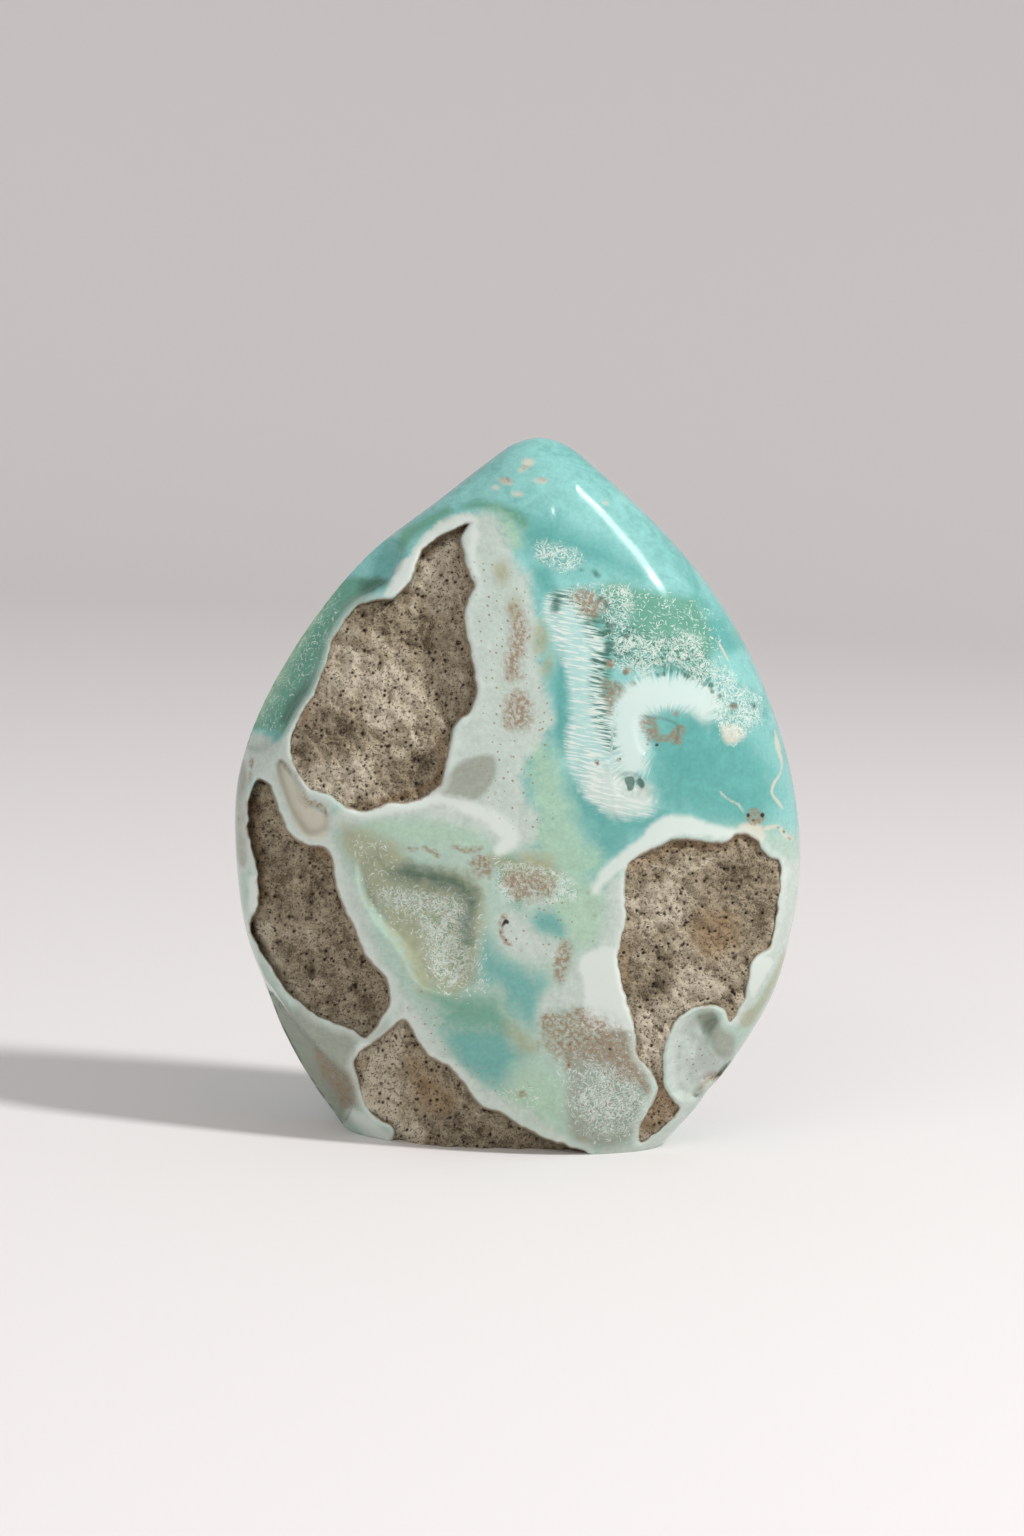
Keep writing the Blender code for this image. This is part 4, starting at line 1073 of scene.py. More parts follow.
def mineral_field(shapes, u, v):
    """How deep each (u, v) lies in a mineral: 1 well inside, -1 well outside, and more or less beyond."""
    found = np.full(len(u), -4.0)
    for kind, soft, points in shapes:
        margin = 4.0 * soft
        if kind == "patch":
            found = np.maximum(found, gap_to(through_points(points, 0.6), u, v, margin) / soft)
            continue
        if kind == "band":
            line = through_points(points, 0.5, closed=False)
            reach = margin + line[:, 2].max()
            low = line[:, :2].min(axis=0) - reach
            high = line[:, :2].max(axis=0) + reach
            near = (u > low[0]) & (u < high[0]) & (v > low[1]) & (v < high[1])
            if near.any():
                gap, which, part = to_line(line, u[near], v[near], closed=False)
                half = line[which, 2] * (1.0 - part) + line[which + 1, 2] * part
                found[near] = np.maximum(found[near], (half - gap) / soft)
            continue
        for cu, cv, half_u, half_v, lean in points:
            turn = math.radians(lean)
            a = ((u - cu) * math.cos(turn) + (v - cv) * math.sin(turn)) / half_u
            b = ((v - cv) * math.cos(turn) - (u - cu) * math.sin(turn)) / half_v
            found = np.maximum(found, (1.0 - np.hypot(a, b)) * min(half_u, half_v) / soft)
    return np.clip(found, -4.0, 4.0)


def nibbled(outline, seed, depth=0.2):
    """A window's edge with the small bites that a broken edge has."""
    line = through_points(outline, 0.3)
    along = np.roll(line, -1, axis=0) - np.roll(line, 1, axis=0)
    along /= np.maximum(np.linalg.norm(along, axis=1), 1e-9)[:, None]
    bite = waves(line[:, 0], line[:, 1], 2.2, seed) + 0.55 * waves(line[:, 0], line[:, 1], 0.9, seed + 1)
    return line + np.stack([along[:, 1], -along[:, 0]], axis=1) * (bite * depth)[:, None]


def upper_floor(u, v):
    """Shallow along the left ridge, deep under the right wall, with a diagonal step across it."""
    depth = 0.7 + 2.1 * smooth_step(-27.0, -9.0, u)
    step = line_distance(u, v, (-21.5, 67.0), (-13.0, 58.5))
    depth += 0.9 * smooth_step(1.0, -0.6, step) * smooth_step(-24.0, -19.0, u)
    depth += 0.8 * np.exp(-((u + 24.3) ** 2 + (v - 53.6) ** 2) / 8.0)
    return depth + 0.5 * rough(u, v, 3.4, 1) + 0.3 * rough(u, v, 1.7, 2)


def left_floor(u, v):
    """Level with the pale rim at the left, and deep under the right wall."""
    wall = line_distance(u, v, (-24.5, 37.0), (-15.5, 18.5))
    depth = 1.0 + 2.2 * smooth_step(-11.0, -1.5, wall)
    depth -= 0.5 * smooth_step(22.0, 15.0, v)
    return depth + 0.4 * rough(u, v, 3.6, 3) + 0.28 * rough(u, v, 1.8, 4)


def lower_floor(u, v):
    """Deep under the slanting upper wall, with a rounded knob left standing at its upper left."""
    wall = line_distance(u, v, (-11.0, 11.8), (6.5, 0.8))
    depth = 1.0 + 2.4 * smooth_step(10.0, 1.5, wall)
    depth -= 1.3 * np.exp(-((u + 18.4) ** 2 + (v - 10.9) ** 2) / 3.0)
    return depth + 0.5 * rough(u, v, 3.2, 5) + 0.3 * rough(u, v, 1.7, 6)


def right_floor(u, v):
    """A low broken face, a little deeper under its top edge."""
    depth = 0.75 + 0.5 * smooth_step(36.0, 41.0, v)
    return depth + 0.3 * rough(u, v, 3.6, 7) + 0.2 * rough(u, v, 1.8, 8)


def cream_recess_floor(u, v):
    """A smooth bowl that steepens towards the stone's edge."""
    lumps = 0.3 * waves(u, v, 2.4, 9) + 0.12 * waves(u, v, 1.1, 10)
    return 1.4 + 0.9 * smooth_step(25.0, 29.0, u) + lumps


def channel_floor(u, v):
    """A scoop, deepest under its upper right wall."""
    wall = line_distance(u, v, (-31.0, 49.0), (-25.0, 41.0))
    return 0.7 + 0.9 * smooth_step(-4.0, -0.8, wall)


def crystal_floor(u, v):
    """Crusted with small crystals, sunken under its upper right wall and shallow at its lower left."""
    wall = line_distance(u, v, (-7.0, 35.5), (-3.5, 20.0))
    depth = 0.35 + 1.1 * smooth_step(-11.0, -1.0, wall) * smooth_step(19.0, 27.0, v)
    depth += 0.5 * smooth_step(31.0, 34.5, v) * smooth_step(-19.0, -15.0, u)
    return depth + 0.09 * waves(u, v, 1.1, 17) + 0.07 * waves(u, v, 0.6, 18)


def back_upper_floor(u, v):
    return 1.3 + 0.5 * rough(u, v, 3.4, 11) + 0.2 * rough(u, v, 1.6, 12)


def back_lower_floor(u, v):
    return 1.1 + 0.45 * rough(u, v, 3.4, 13) + 0.2 * rough(u, v, 1.6, 14)


# Name, outline, floor, width of the wall, and whether a separate rough floor lies in it.
FRONT_RECESSES = [
    ("upper_window", nibbled(UPPER_WINDOW, 31), upper_floor, 0.35, True),
    ("left_window", nibbled(LEFT_WINDOW, 33), left_floor, 0.35, True),
    ("lower_window", nibbled(LOWER_WINDOW, 35), lower_floor, 0.35, True),
    ("right_window", nibbled(RIGHT_WINDOW, 37), right_floor, 0.3, True),
    ("cream_recess", nibbled(CREAM_RECESS, 39, 0.08), cream_recess_floor, 1.0, False),
    ("cream_channel", nibbled(CREAM_CHANNEL, 41, 0.08), channel_floor, 0.7, False),
    ("crystal_hollow", nibbled(CRYSTAL_HOLLOW, 43, 0.15), crystal_floor, 1.3, False),
    ("lobed_hole", nibbled(LOBED_HOLE, 45, 0.05), lambda u, v: np.full(len(u), 0.5), 0.8, False),
    ("brown_pit", nibbled(BROWN_PIT, 47, 0.1), lambda u, v: np.full(len(u), 0.35), 0.8, False),
]
BACK_RECESSES = [
    ("back_upper_window", nibbled(BACK_UPPER_WINDOW, 51), back_upper_floor, 0.5, True),
    ("back_lower_window", nibbled(BACK_LOWER_WINDOW, 53), back_lower_floor, 0.5, True),
]
SIDE_HOLLOWS = [through_points(UPPER_SIDE_HOLLOW, 0.35), through_points(LOWER_SIDE_HOLLOW, 0.35)]
HIDDEN_GAP = 0.9
CURL_CENTRE = (19.1, 55.5)
LIP_FALL = 0.32
TRIANGLE_HEIGHT = 0.866
CURL_REACH = 9.5
CURL_LEFT = 12.0
EDGE_BITE = (29.2, 6.4)


# Places where the skin itself is unpolished: the shape, the size of its lumps and their height.
ROUGH_SKIN = [
    (patch(0.8, """
    -27.7,17.6 -25.2,15.7 -21.8,12.7 -19.4,13.2 -17,13.8 -17,10.2 -19.1,7.2 -18.9,3.2 -20.4,2.3
    -21.1,6.7 -24.9,11.3 -28.3,14.8"""), 1.5, 0.16),
    (patch(0.8, "6.5,17.1 11.6,18.4 17.9,15.2 20.2,10.2 21,5.1 16.6,1.2 10.3,4.5 7.9,10.5"), 1.2, 0.1),
    (patch(0.6, """
    -34.9,27.3 -33.1,25.1 -30.9,21.2 -28.4,17.6 -25.2,15.5 -21.5,13.7 -18.7,12.8 -22.7,12.3 -27.5,14.4
    -31.7,18.5 -34.7,23.6"""), 1.0, 0.14),
]


def lip_and_wall(gap, depth, lip, wall):
    """How far the surface has fallen below the skin at this gap in from a recess's edge."""
    rounding = LIP_FALL * np.clip(1.0 + gap / lip, 0.0, 1.0) ** 2.2
    fall = rounding + (depth - LIP_FALL) * smooth_step(0.0, wall, gap)
    return np.where(gap <= -lip, 0.0, np.where(gap < 0.0, np.minimum(rounding, depth), fall))


def carved_front(x, y, z, lip):
    """The front skin with its recesses: every point slides along its line of sight."""
    u, v = to_eye(x, y, z)
    drop = np.zeros(len(u))
    gap_all = np.full(len(u), -2.0)
    for _, line, floor, wall, rough_floor in FRONT_RECESSES:
        gap = gap_to(line, u, v, 2.0)
        gap_all = np.maximum(gap_all, gap)
        near = gap > -lip
        if near.any():
            depth = floor(u[near], v[near]) + (HIDDEN_GAP if rough_floor else 0.0)
            drop[near] = np.maximum(drop[near], lip_and_wall(gap[near], depth, lip, wall))
    scooped = np.zeros(len(u))
    for line in SIDE_HOLLOWS:
        scooped = np.maximum(scooped, smooth_step(-0.25, 0.7, gap_to(line, u, v, 2.0)))
    _, share = around(x, z)
    for shape, size, height in ROUGH_SKIN:
        rough_here = smooth_step(-1.0, 1.0, mineral_field([shape], u, v)) * (gap_all < -0.3)
        drop += rough_here * height * (waves(u, v, size, 61) + 0.6 * waves(u, v, size / 2.0, 62) + 1.0)
    drop *= smooth_step(1.0, 0.975, share)
    moved = (drop > 0.0) | (scooped > 0.0)
    mu, mv, md, ms = u[moved], v[moved], drop[moved], scooped[moved]
    my = y[moved]
    edge_fade = smooth_step(1.0, 0.93, share[moved])
    for _ in range(8):
        mx, mz = to_part(mu, mv, my)
        skin = skin_y(mx, mz, True)
        hollow = scoop_y(mx, mz) + 0.3 * edge_fade * waves(mu, mv, 4.0, 3)
        my = np.maximum(skin + md, skin + (hollow - skin) * ms)
    mx, mz = to_part(mu, mv, my)
    fixed = share[moved] > 0.9999
    x, y, z = x.copy(), y.copy(), z.copy()
    x[moved] = np.where(fixed, x[moved], mx)
    y[moved] = np.where(fixed, y[moved], my)
    z[moved] = np.where(fixed, z[moved], mz)
    return x, y, z


def carved_back(x, y, z, lip):
    drop = np.zeros(len(x))
    for _, line, floor, wall, _ in BACK_RECESSES:
        gap = gap_to(line, -x, z, 2.0)
        near = gap > -lip
        if near.any():
            depth = floor(-x[near], z[near]) + HIDDEN_GAP
            drop[near] = np.maximum(drop[near], lip_and_wall(gap[near], depth, lip, wall))
    return x, y - drop, z


def dent(x, z):
    """The bite that is missing from the lower right edge, as a share of the way out."""
    away = np.exp(-((x - EDGE_BITE[0]) ** 2 + (z - EDGE_BITE[1]) ** 2) / 2.4)
    return 1.0 - 0.042 * away


def unrolled_rows(line, front, offsets):
    """Rows of points along a recess's edge, each this far outside it, on the unrolled skin."""
    along = np.roll(line, -1, axis=0) - np.roll(line, 1, axis=0)
    along /= np.maximum(np.linalg.norm(along, axis=1), 1e-9)[:, None]
    outward = np.stack([along[:, 1], -along[:, 0]], axis=1)
    area = 0.5 * np.sum(line[:, 0] * np.roll(line[:, 1], -1) - np.roll(line[:, 0], -1) * line[:, 1])
    if area < 0.0:
        outward = -outward
    found = []
    for offset in offsets:
        row = line + outward * offset
        clear = np.abs(gap_to(line, row[:, 0], row[:, 1], 3.0) + offset) < 0.05 + 0.1 * abs(offset)
        found.append(unroll(*on_skin(row[clear, 0], row[clear, 1], front)))
    return [np.stack(row, axis=1) for row in found]


def on_skin(u, v, front):
    """The x and z where the line of sight through (u, v) meets the polished skin."""
    if not front:
        return -u, v
    y = np.full(len(u), -10.0)
    for _ in range(12):
        x, z = to_part(u, v, y)
        y = 0.5 * y + 0.5 * skin_y(x, z, True)
    return to_part(u, v, y)


def unrolled_mesh(step, front, lip):
    """Points and triangles of the unrolled front or back, the rim first, and close together along a recess."""
    turns = np.linspace(0.0, 2.0 * math.pi, 760, endpoint=False)
    reach = edge_radius(turns) * FALL_LENGTH[-1]
    rim = np.stack([reach * np.cos(turns), reach * np.sin(turns)], axis=1)
    size = reach.max() + step
    last_row = int(size / (TRIANGLE_HEIGHT * step))
    row_numbers = np.arange(-last_row, last_row + 1)
    columns = np.arange(-int(size / step), int(size / step) + 1)
    column, row = np.meshgrid(columns, row_numbers)
    p = ((column + 0.5 * (row % 2)) * step).ravel()
    q = (row * TRIANGLE_HEIGHT * step).ravel()
    coarse = ((column % 3 == 0) & (row % 3 == 0)).ravel()
    inside = np.hypot(p, q) < edge_radius(np.arctan2(q, p)) * FALL_LENGTH[-1] - 0.45 * step
    p, q, coarse = p[inside], q[inside], coarse[inside]
    x, y, z = roll(p, q, front)
    u, v = to_eye(x, y, z) if front else (-x, z)
    keep = (z > -1.0) | coarse
    points = [rim]
    edges = []
    for name, line, _, wall, rough_floor in (FRONT_RECESSES if front else BACK_RECESSES):
        gap = gap_to(line, u, v, 2.0)
        keep &= (gap < -lip - 0.15) | (gap > wall + 0.15)
        if rough_floor:
            keep &= (gap < wall + 0.6) | coarse
        offsets = (lip, 0.6 * lip, 0.28 * lip, 0.0, -0.3 * wall, -0.65 * wall, -wall)
        made = unrolled_rows(line, front, offsets)
        made[3] = np.stack(unroll(*on_skin(line[:, 0], line[:, 1], front)), axis=1)
        for number, found in enumerate(made):
            limit = edge_radius(np.arctan2(found[:, 1], found[:, 0])) * FALL_LENGTH[-1] - 0.3 * step
            within = np.hypot(found[:, 0], found[:, 1]) < limit
            if number == 3:
                first = sum(len(block) for block in points)
                numbers = np.cumsum(within) - 1 + first
                following = np.roll(np.arange(len(found)), -1)
                edges += [(int(numbers[i]), int(numbers[following[i]])) for i in range(len(found))
                          if within[i] and within[following[i]]]
            points.append(found[within])
    if front:
        for line in SIDE_HOLLOWS:
            made = unrolled_rows(line, front, (0.0, -0.35, -0.7))
            for found in made:
                limit = edge_radius(np.arctan2(found[:, 1], found[:, 0])) * FALL_LENGTH[-1] - 0.5 * step
                points.append(found[np.hypot(found[:, 0], found[:, 1]) < limit])
    points.append(np.stack([p[keep], q[keep]], axis=1))
    flat = np.concatenate(points)
    ring = list(range(len(rim)))
    edges += [(a, (a + 1) % len(rim)) for a in ring]
    made = geometry.delaunay_2d_cdt([Vector(point) for point in flat], edges, [ring], 1, 1e-4)
    corners = np.array([tuple(point) for point in made[0]])
    faces = np.array([tuple(face) for face in made[2]])
    origin = np.full(len(corners), -1)
    for number, sources in enumerate(made[3]):
        for source in sources:
            if source < len(rim):
                origin[number] = source
    return corners, faces, origin


def stone_mesh(settings):
    """The whole polished stone as one closed mesh, standing on its flat foot."""
    lip = settings.lip / MM
    blocks = []
    faces = []
    count = 0
    rim_place = {}
    for front, step in ((True, settings.front_step / MM), (False, settings.back_step / MM)):
        corners, triangles, origin = unrolled_mesh(step, front, lip)
        x, y, z = roll(corners[:, 0], corners[:, 1], front)
        x, y, z = (carved_front if front else carved_back)(x, y, z, lip)
        y = np.where(origin >= 0, 0.0, y)
        x0, z0 = x - FORM_CENTRE[0], z - FORM_CENTRE[1]
        pull = dent(x, z)
        place = np.stack([FORM_CENTRE[0] + x0 * pull, y, FORM_CENTRE[1] + z0 * pull], axis=1)
        numbers = np.empty(len(corners), int)
        fresh = []
        for n in range(len(corners)):
            if origin[n] >= 0 and not front:
                numbers[n] = rim_place[origin[n]]
                continue
            numbers[n] = count
            if origin[n] >= 0:
                rim_place[origin[n]] = count
            fresh.append(n)
            count += 1
        blocks.append(place[fresh])
        found = numbers[triangles]
        faces.append(found if front else found[:, ::-1])
    return np.concatenate(blocks), np.concatenate(faces)


def place_in_model(points):
    """Millimetres of the form to metres of the model, centred on the origin."""
    return (points - np.array([MIDDLE_X, MIDDLE_Y, 0.0])) * MM


def from_model(points):
    """Metres of the model back to millimetres of the form."""
    return points / MM + np.array([MIDDLE_X, MIDDLE_Y, 0.0])


def add_mesh(name, points, faces, material):
    """A smooth mesh object from arrays of points and faces."""
    mesh = bpy.data.meshes.new(name)
    mesh.from_pydata(points.tolist(), [], faces.tolist())
    mesh.validate()
    mesh.shade_smooth()
    mesh.materials.append(material)
    obj = bpy.data.objects.new(name, mesh)
    bpy.context.scene.collection.objects.link(obj)
    return obj


def cut_flat_foot(obj, close):
    """Cuts away what lies below the floor, and, when asked to close it, closes the foot with a flat face."""
    bm = bmesh.new()
    bm.from_mesh(obj.data)
    made = bmesh.ops.bisect_plane(
        bm, geom=bm.verts[:] + bm.edges[:] + bm.faces[:], dist=1e-7,
        plane_co=(0.0, 0.0, 0.0), plane_no=(0.0, 0.0, 1.0), clear_inner=True,
    )
    if close:
        cut_edges = [item for item in made["geom_cut"] if isinstance(item, bmesh.types.BMEdge)]
        filled = bmesh.ops.triangle_fill(bm, use_beauty=True, edges=cut_edges)
        for item in filled["geom"]:
            if isinstance(item, bmesh.types.BMFace):
                item.smooth = False
                if item.normal.z > 0.0:
                    item.normal_flip()
    bm.to_mesh(obj.data)
    bm.free()


def mesh_points(obj):
    flat = np.empty(len(obj.data.vertices) * 3)
    obj.data.vertices.foreach_get("co", flat)
    return flat.reshape(-1, 3)


def store(obj, name, values):
    """Keeps one number a point on the mesh, for the material to read."""
    made = obj.data.attributes.new(name, "FLOAT", "POINT")
    made.data.foreach_set("value", np.asarray(values, np.float32))


def store_vector(obj, name, across, up):
    """Keeps a place on a flat map for each point of the mesh, in millimetres."""
    made = obj.data.attributes.new(name, "FLOAT_VECTOR", "POINT")
    flat = np.stack([across, up, np.zeros(len(across))], axis=1)
    made.data.foreach_set("vector", flat.astype(np.float32).ravel())


def fibre_places(u, v):
    """Across and along the crystal fibres, in millimetres: fanned round the curl, nearly level in the comb."""
    curl_u, curl_v = CURL_CENTRE
    away = np.hypot(u - curl_u, v - curl_v)
    turn = np.arctan2(v - curl_v, -(u - curl_u))
    in_curl = (away < CURL_REACH) & (u > CURL_LEFT)
    lift = v + 0.12 * (u - 6.0) + 0.5 * np.sin(v / 3.0)
    return np.where(in_curl, turn * 6.0, lift), np.where(in_curl, away, u)


def unroll_map(obj):
    """A flat map of the surface: the front on the left, the back on the right."""
    points = from_model(mesh_points(obj))
    p, q = unroll(points[:, 0], points[:, 2])
    corners = np.empty(len(obj.data.loops), np.int32)
    obj.data.loops.foreach_get("vertex_index", corners)
    starts = np.empty(len(obj.data.polygons), np.int32)
    obj.data.polygons.foreach_get("loop_start", starts)
    totals = np.empty(len(obj.data.polygons), np.int32)
    obj.data.polygons.foreach_get("loop_total", totals)
    owner = np.repeat(np.arange(len(starts)), totals)
    middle = np.zeros(len(starts))
    np.add.at(middle, owner, points[corners, 1])
    behind = (middle / totals > 0.0)[owner]
    across = 0.25 + p[corners] / 260.0
    up = 0.47 + q[corners] / 135.0
    across = np.where(behind, across + 0.5, across)
    layer = obj.data.uv_layers.new(name="OFBake")
    layer.data.foreach_set("uv", np.stack([across, up], axis=1).astype(np.float32).ravel())


def add(tree, kind, inputs=None, **settings):
    """Adds a shader node with its settings. A node or a socket as an input is linked, another value is set."""
    made = tree.nodes.new("ShaderNode" + kind)
    for name, value in settings.items():
        setattr(made, name, value)
    for name, value in (inputs or {}).items():
        if isinstance(value, bpy.types.Node):
            value = next(socket for socket in value.outputs if socket.enabled)
        if isinstance(value, bpy.types.NodeSocket):
            tree.links.new(value, made.inputs[name])
        else:
            made.inputs[name].default_value = value
    return made


def empty_material(name):
    material = bpy.data.materials.new(name)
    material.use_nodes = True
    material.node_tree.nodes.clear()
    return material


def polished_aragonite(settings):
    """Polished blue aragonite: carbonate crystals, sawn and polished on a wheel, which gives a wet gloss.

    Each mineral's place comes from the mesh, and its edge is roughened here. Crystal fibres are really a few
    hundredths of a millimetre thick and are drawn about 0.3 mm apart, so that they show.
    """
    material = empty_material("polished_blue_aragonite")
    tree = material.node_tree
    flat = add(tree, "Attribute", attribute_name="flat").outputs["Vector"]
    fibre_map = add(tree, "Attribute", attribute_name="fibre").outputs["Vector"]
    fibre_map = add(tree, "VectorMath", {0: fibre_map, 1: (3.4, 0.36, 0.0)}, operation="MULTIPLY")
    noises = {}
    for name, place, scale, detail, roughness, twist in (
        ("cloud", flat, 0.11, 4.0, 0.55, 0.8),
        ("torn", flat, 0.55, 6.0, 0.62, 0.3),
        ("mottle", flat, 1.7, 5.0, 0.7, 0.0),
        ("fine", flat, 3.6, 3.0, 0.65, 0.0),
        ("worm", flat, 0.95, 1.5, 0.5, 1.6),
        ("fibre", fibre_map, 1.0, 3.0, 0.55, 0.2),
    ):
        noises[name] = add(
            tree, "TexNoise",
            {"Vector": place, "Scale": scale, "Detail": detail, "Roughness": roughness, "Distortion": twist},
            noise_dimensions="2D",
        )
    torn = add(tree, "Math", {0: noises["torn"], 1: 0.5}, operation="SUBTRACT")
    bend = add(tree, "TexNoise", {"Vector": flat, "Scale": 0.7, "Detail": 2.0}, noise_dimensions="2D")
    warped = add(
        tree, "VectorMath", {0: bend.outputs["Color"], 1: (1.1, 1.1, 0.0), 2: flat}, operation="MULTIPLY_ADD"
    )

    # How much of each mineral there is: name, how torn its edge is, and its share where it is thickest.
    there = {}
    for name, tearing, share in (
        ("mint", 1.5, 1.0), ("aqua", 2.2, 0.85), ("teal", 2.2, 0.85), ("sea_green", 1.8, 0.9),
        ("leaf_green", 2.0, 0.8), ("mist", 1.6, 0.95), ("smoke", 2.0, 0.85), ("olive", 2.2, 0.75),
        ("cream", 1.4, 0.9), ("white", 1.6, 0.9), ("comb", 1.6, 1.0), ("gaps", 1.5, 1.0), ("lace", 2.0, 1.0),
        ("flecks", 2.0, 1.0), ("specks", 1.0, 1.0), ("dark_green", 2.4, 0.8), ("brown", 3.0, 0.9),
        ("pit", 0.8, 1.0),
    ):
        field = add(tree, "Attribute", attribute_name=name).outputs["Fac"]
        field = add(tree, "Math", {0: torn, 1: tearing, 2: field}, operation="MULTIPLY_ADD")
        there[name] = add(
            tree, "MapRange", {"Value": field, "From Min": -1.0, "From Max": 1.0, "To Max": share},
            interpolation_type="SMOOTHSTEP",
        )

    def laid_over(tone, amount, over):
        """The tone with another colour laid over it where the amount says so."""
        return add(tree, "Mix", {0: amount, 6: tone, 7: (*over, 1.0)}, data_type="RGBA")

    deep = add(tree, "MapRange", {"Value": noises["cloud"], "From Min": 0.4, "From Max": 0.66, "To Max": 0.7})
    tone = laid_over((*settings.aqua, 1.0), deep, settings.teal)
    for name in ("mint", "aqua", "teal", "sea_green", "leaf_green", "mist", "smoke", "olive"):
        tone = laid_over(tone, there[name], getattr(settings, name))

    # Clouds of lighter and darker crystal inside every colour, at two sizes.
    wide = add(
        tree, "MapRange",
        {"Value": noises["torn"], "From Min": 0.25, "From Max": 0.75, "To Min": 0.91, "To Max": 1.09},
    )
    close = add(
        tree, "MapRange",
        {"Value": noises["mottle"], "From Min": 0.25, "From Max": 0.75, "To Min": 0.91, "To Max": 1.09},
    )
    clouding = add(tree, "Math", {0: wide, 1: close}, operation="MULTIPLY")
    tone = add(tree, "VectorMath", {0: tone, "Scale": clouding}, operation="SCALE")
    tone = laid_over(tone, there["cream"], settings.cream)
    tone = laid_over(tone, there["white"], settings.white)

    ground = add(tree, "Math", {0: there["gaps"], 1: 0.7}, operation="MULTIPLY")
    tone = laid_over(tone, ground, settings.deep_green)

    # Crystal fibres: a milky veil with whiter fibres, and dark gaps between their ends.
    fibre = noises["fibre"]
    veil = add(tree, "Math", {0: there["comb"], 1: 0.45}, operation="MULTIPLY")
    tone = laid_over(tone, veil, settings.curl)
    gap = add(
        tree, "MapRange", {"Value": fibre, "From Min": 0.5, "From Max": 0.4},
        interpolation_type="SMOOTHSTEP",
    )
    gap = add(tree, "Math", {0: gap, 1: there["gaps"]}, operation="MULTIPLY")
    gap = add(tree, "Math", {0: gap, 1: 0.8}, operation="MULTIPLY")
    tone = laid_over(tone, gap, settings.dark_green)
    bright = add(
        tree, "MapRange", {"Value": fibre, "From Min": 0.47, "From Max": 0.62},
        interpolation_type="SMOOTHSTEP",
    )
    bright = add(tree, "Math", {0: bright, 1: there["comb"]}, operation="MULTIPLY")
    tone = laid_over(tone, bright, settings.white)

    # The open ring: thick and milky, and frayed into fibres at its edge.
    fray = add(tree, "Math", {0: fibre, 1: 0.5}, operation="SUBTRACT")
    ring = add(tree, "Attribute", attribute_name="curl").outputs["Fac"]
    ring = add(tree, "Math", {0: fray, 1: 5.0, 2: ring}, operation="MULTIPLY_ADD")
    ring = add(
        tree, "MapRange", {"Value": ring, "From Min": -1.2, "From Max": 0.9, "To Max": 0.95},
        interpolation_type="SMOOTHSTEP",
    )
    tone = laid_over(tone, ring, settings.curl)

    # How thickly the needles lie: close in the lace, and thinly spread among the flecks.
    dense = add(tree, "Math", {0: there["lace"], 1: 0.85}, operation="MULTIPLY")
    sparse = add(tree, "Math", {0: there["flecks"], 1: 0.4}, operation="MULTIPLY")
    density = add(tree, "Math", {0: dense, 1: sparse}, operation="MAXIMUM")

    # Feathery bursts: rays round the middle of every cell, each cell about 2 mm wide.
    cell = add(tree, "TexVoronoi", {"Vector": warped, "Scale": 0.5}, voronoi_dimensions="2D")
    away = add(tree, "VectorMath", {0: warped, 1: cell.outputs["Position"]}, operation="SUBTRACT")
    part = add(tree, "SeparateXYZ", {0: away})
    angle = add(tree, "Math", {0: part.outputs[1], 1: part.outputs[0]}, operation="ARCTAN2")
    radius = add(tree, "VectorMath", {0: away}, operation="LENGTH").outputs["Value"]
    ray_place = add(tree, "CombineXYZ", {"X": angle, "Y": radius})
    ray_place = add(
        tree, "VectorMath", {0: ray_place, 1: (3.2, 0.9, 0.0), 2: cell.outputs["Position"]},
        operation="MULTIPLY_ADD",
    )
    ray = add(
        tree, "TexNoise", {"Vector": ray_place, "Scale": 1.0, "Detail": 2.0, "Roughness": 0.6},
        noise_dimensions="2D",
    )
    ray = add(tree, "MapRange", {"Value": ray, "From Min": 0.5, "From Max": 0.58})
    reach = add(tree, "MapRange", {"Value": radius, "From Min": 1.5, "From Max": 0.7})
    ray = add(tree, "Math", {0: ray, 1: reach}, operation="MULTIPLY")
    ray = add(tree, "Math", {0: ray, 1: there["lace"]}, operation="MULTIPLY")

    # White needles lying every way, in three sizes: how many in a millimetre, half length, half width.
    needles = None
    for often, length, width in ((0.85, 0.62, 0.075), (1.35, 0.42, 0.065), (2.1, 0.27, 0.06)):
        cell = add(tree, "TexVoronoi", {"Vector": warped, "Scale": often}, voronoi_dimensions="2D")
        chance = add(tree, "SeparateColor", {0: cell.outputs["Color"]})
        away = add(tree, "VectorMath", {0: warped, 1: cell.outputs["Position"]}, operation="SUBTRACT")
        angle = add(tree, "Math", {0: chance.outputs[0], 1: 6.2832}, operation="MULTIPLY")
        turned = add(tree, "VectorRotate", {"Vector": away, "Angle": angle}, rotation_type="Z_AXIS")
        part = add(tree, "VectorMath", {0: turned}, operation="ABSOLUTE")
        part = add(tree, "SeparateXYZ", {0: part})
        taper = add(
            tree, "Math", {0: part.outputs[0], 1: -width / length, 2: width}, operation="MULTIPLY_ADD",
        )
        taper = add(tree, "Math", {0: taper, 1: part.outputs[1]}, operation="SUBTRACT")
        needle = add(tree, "MapRange", {"Value": taper, "From Min": -0.02, "From Max": 0.03})
        grown = add(tree, "Math", {0: density, 1: chance.outputs[1]}, operation="GREATER_THAN")
        needle = add(tree, "Math", {0: needle, 1: grown}, operation="MULTIPLY")
        needles = needle if needles is None else add(
            tree, "Math", {0: needles, 1: needle}, operation="MAXIMUM",
        )

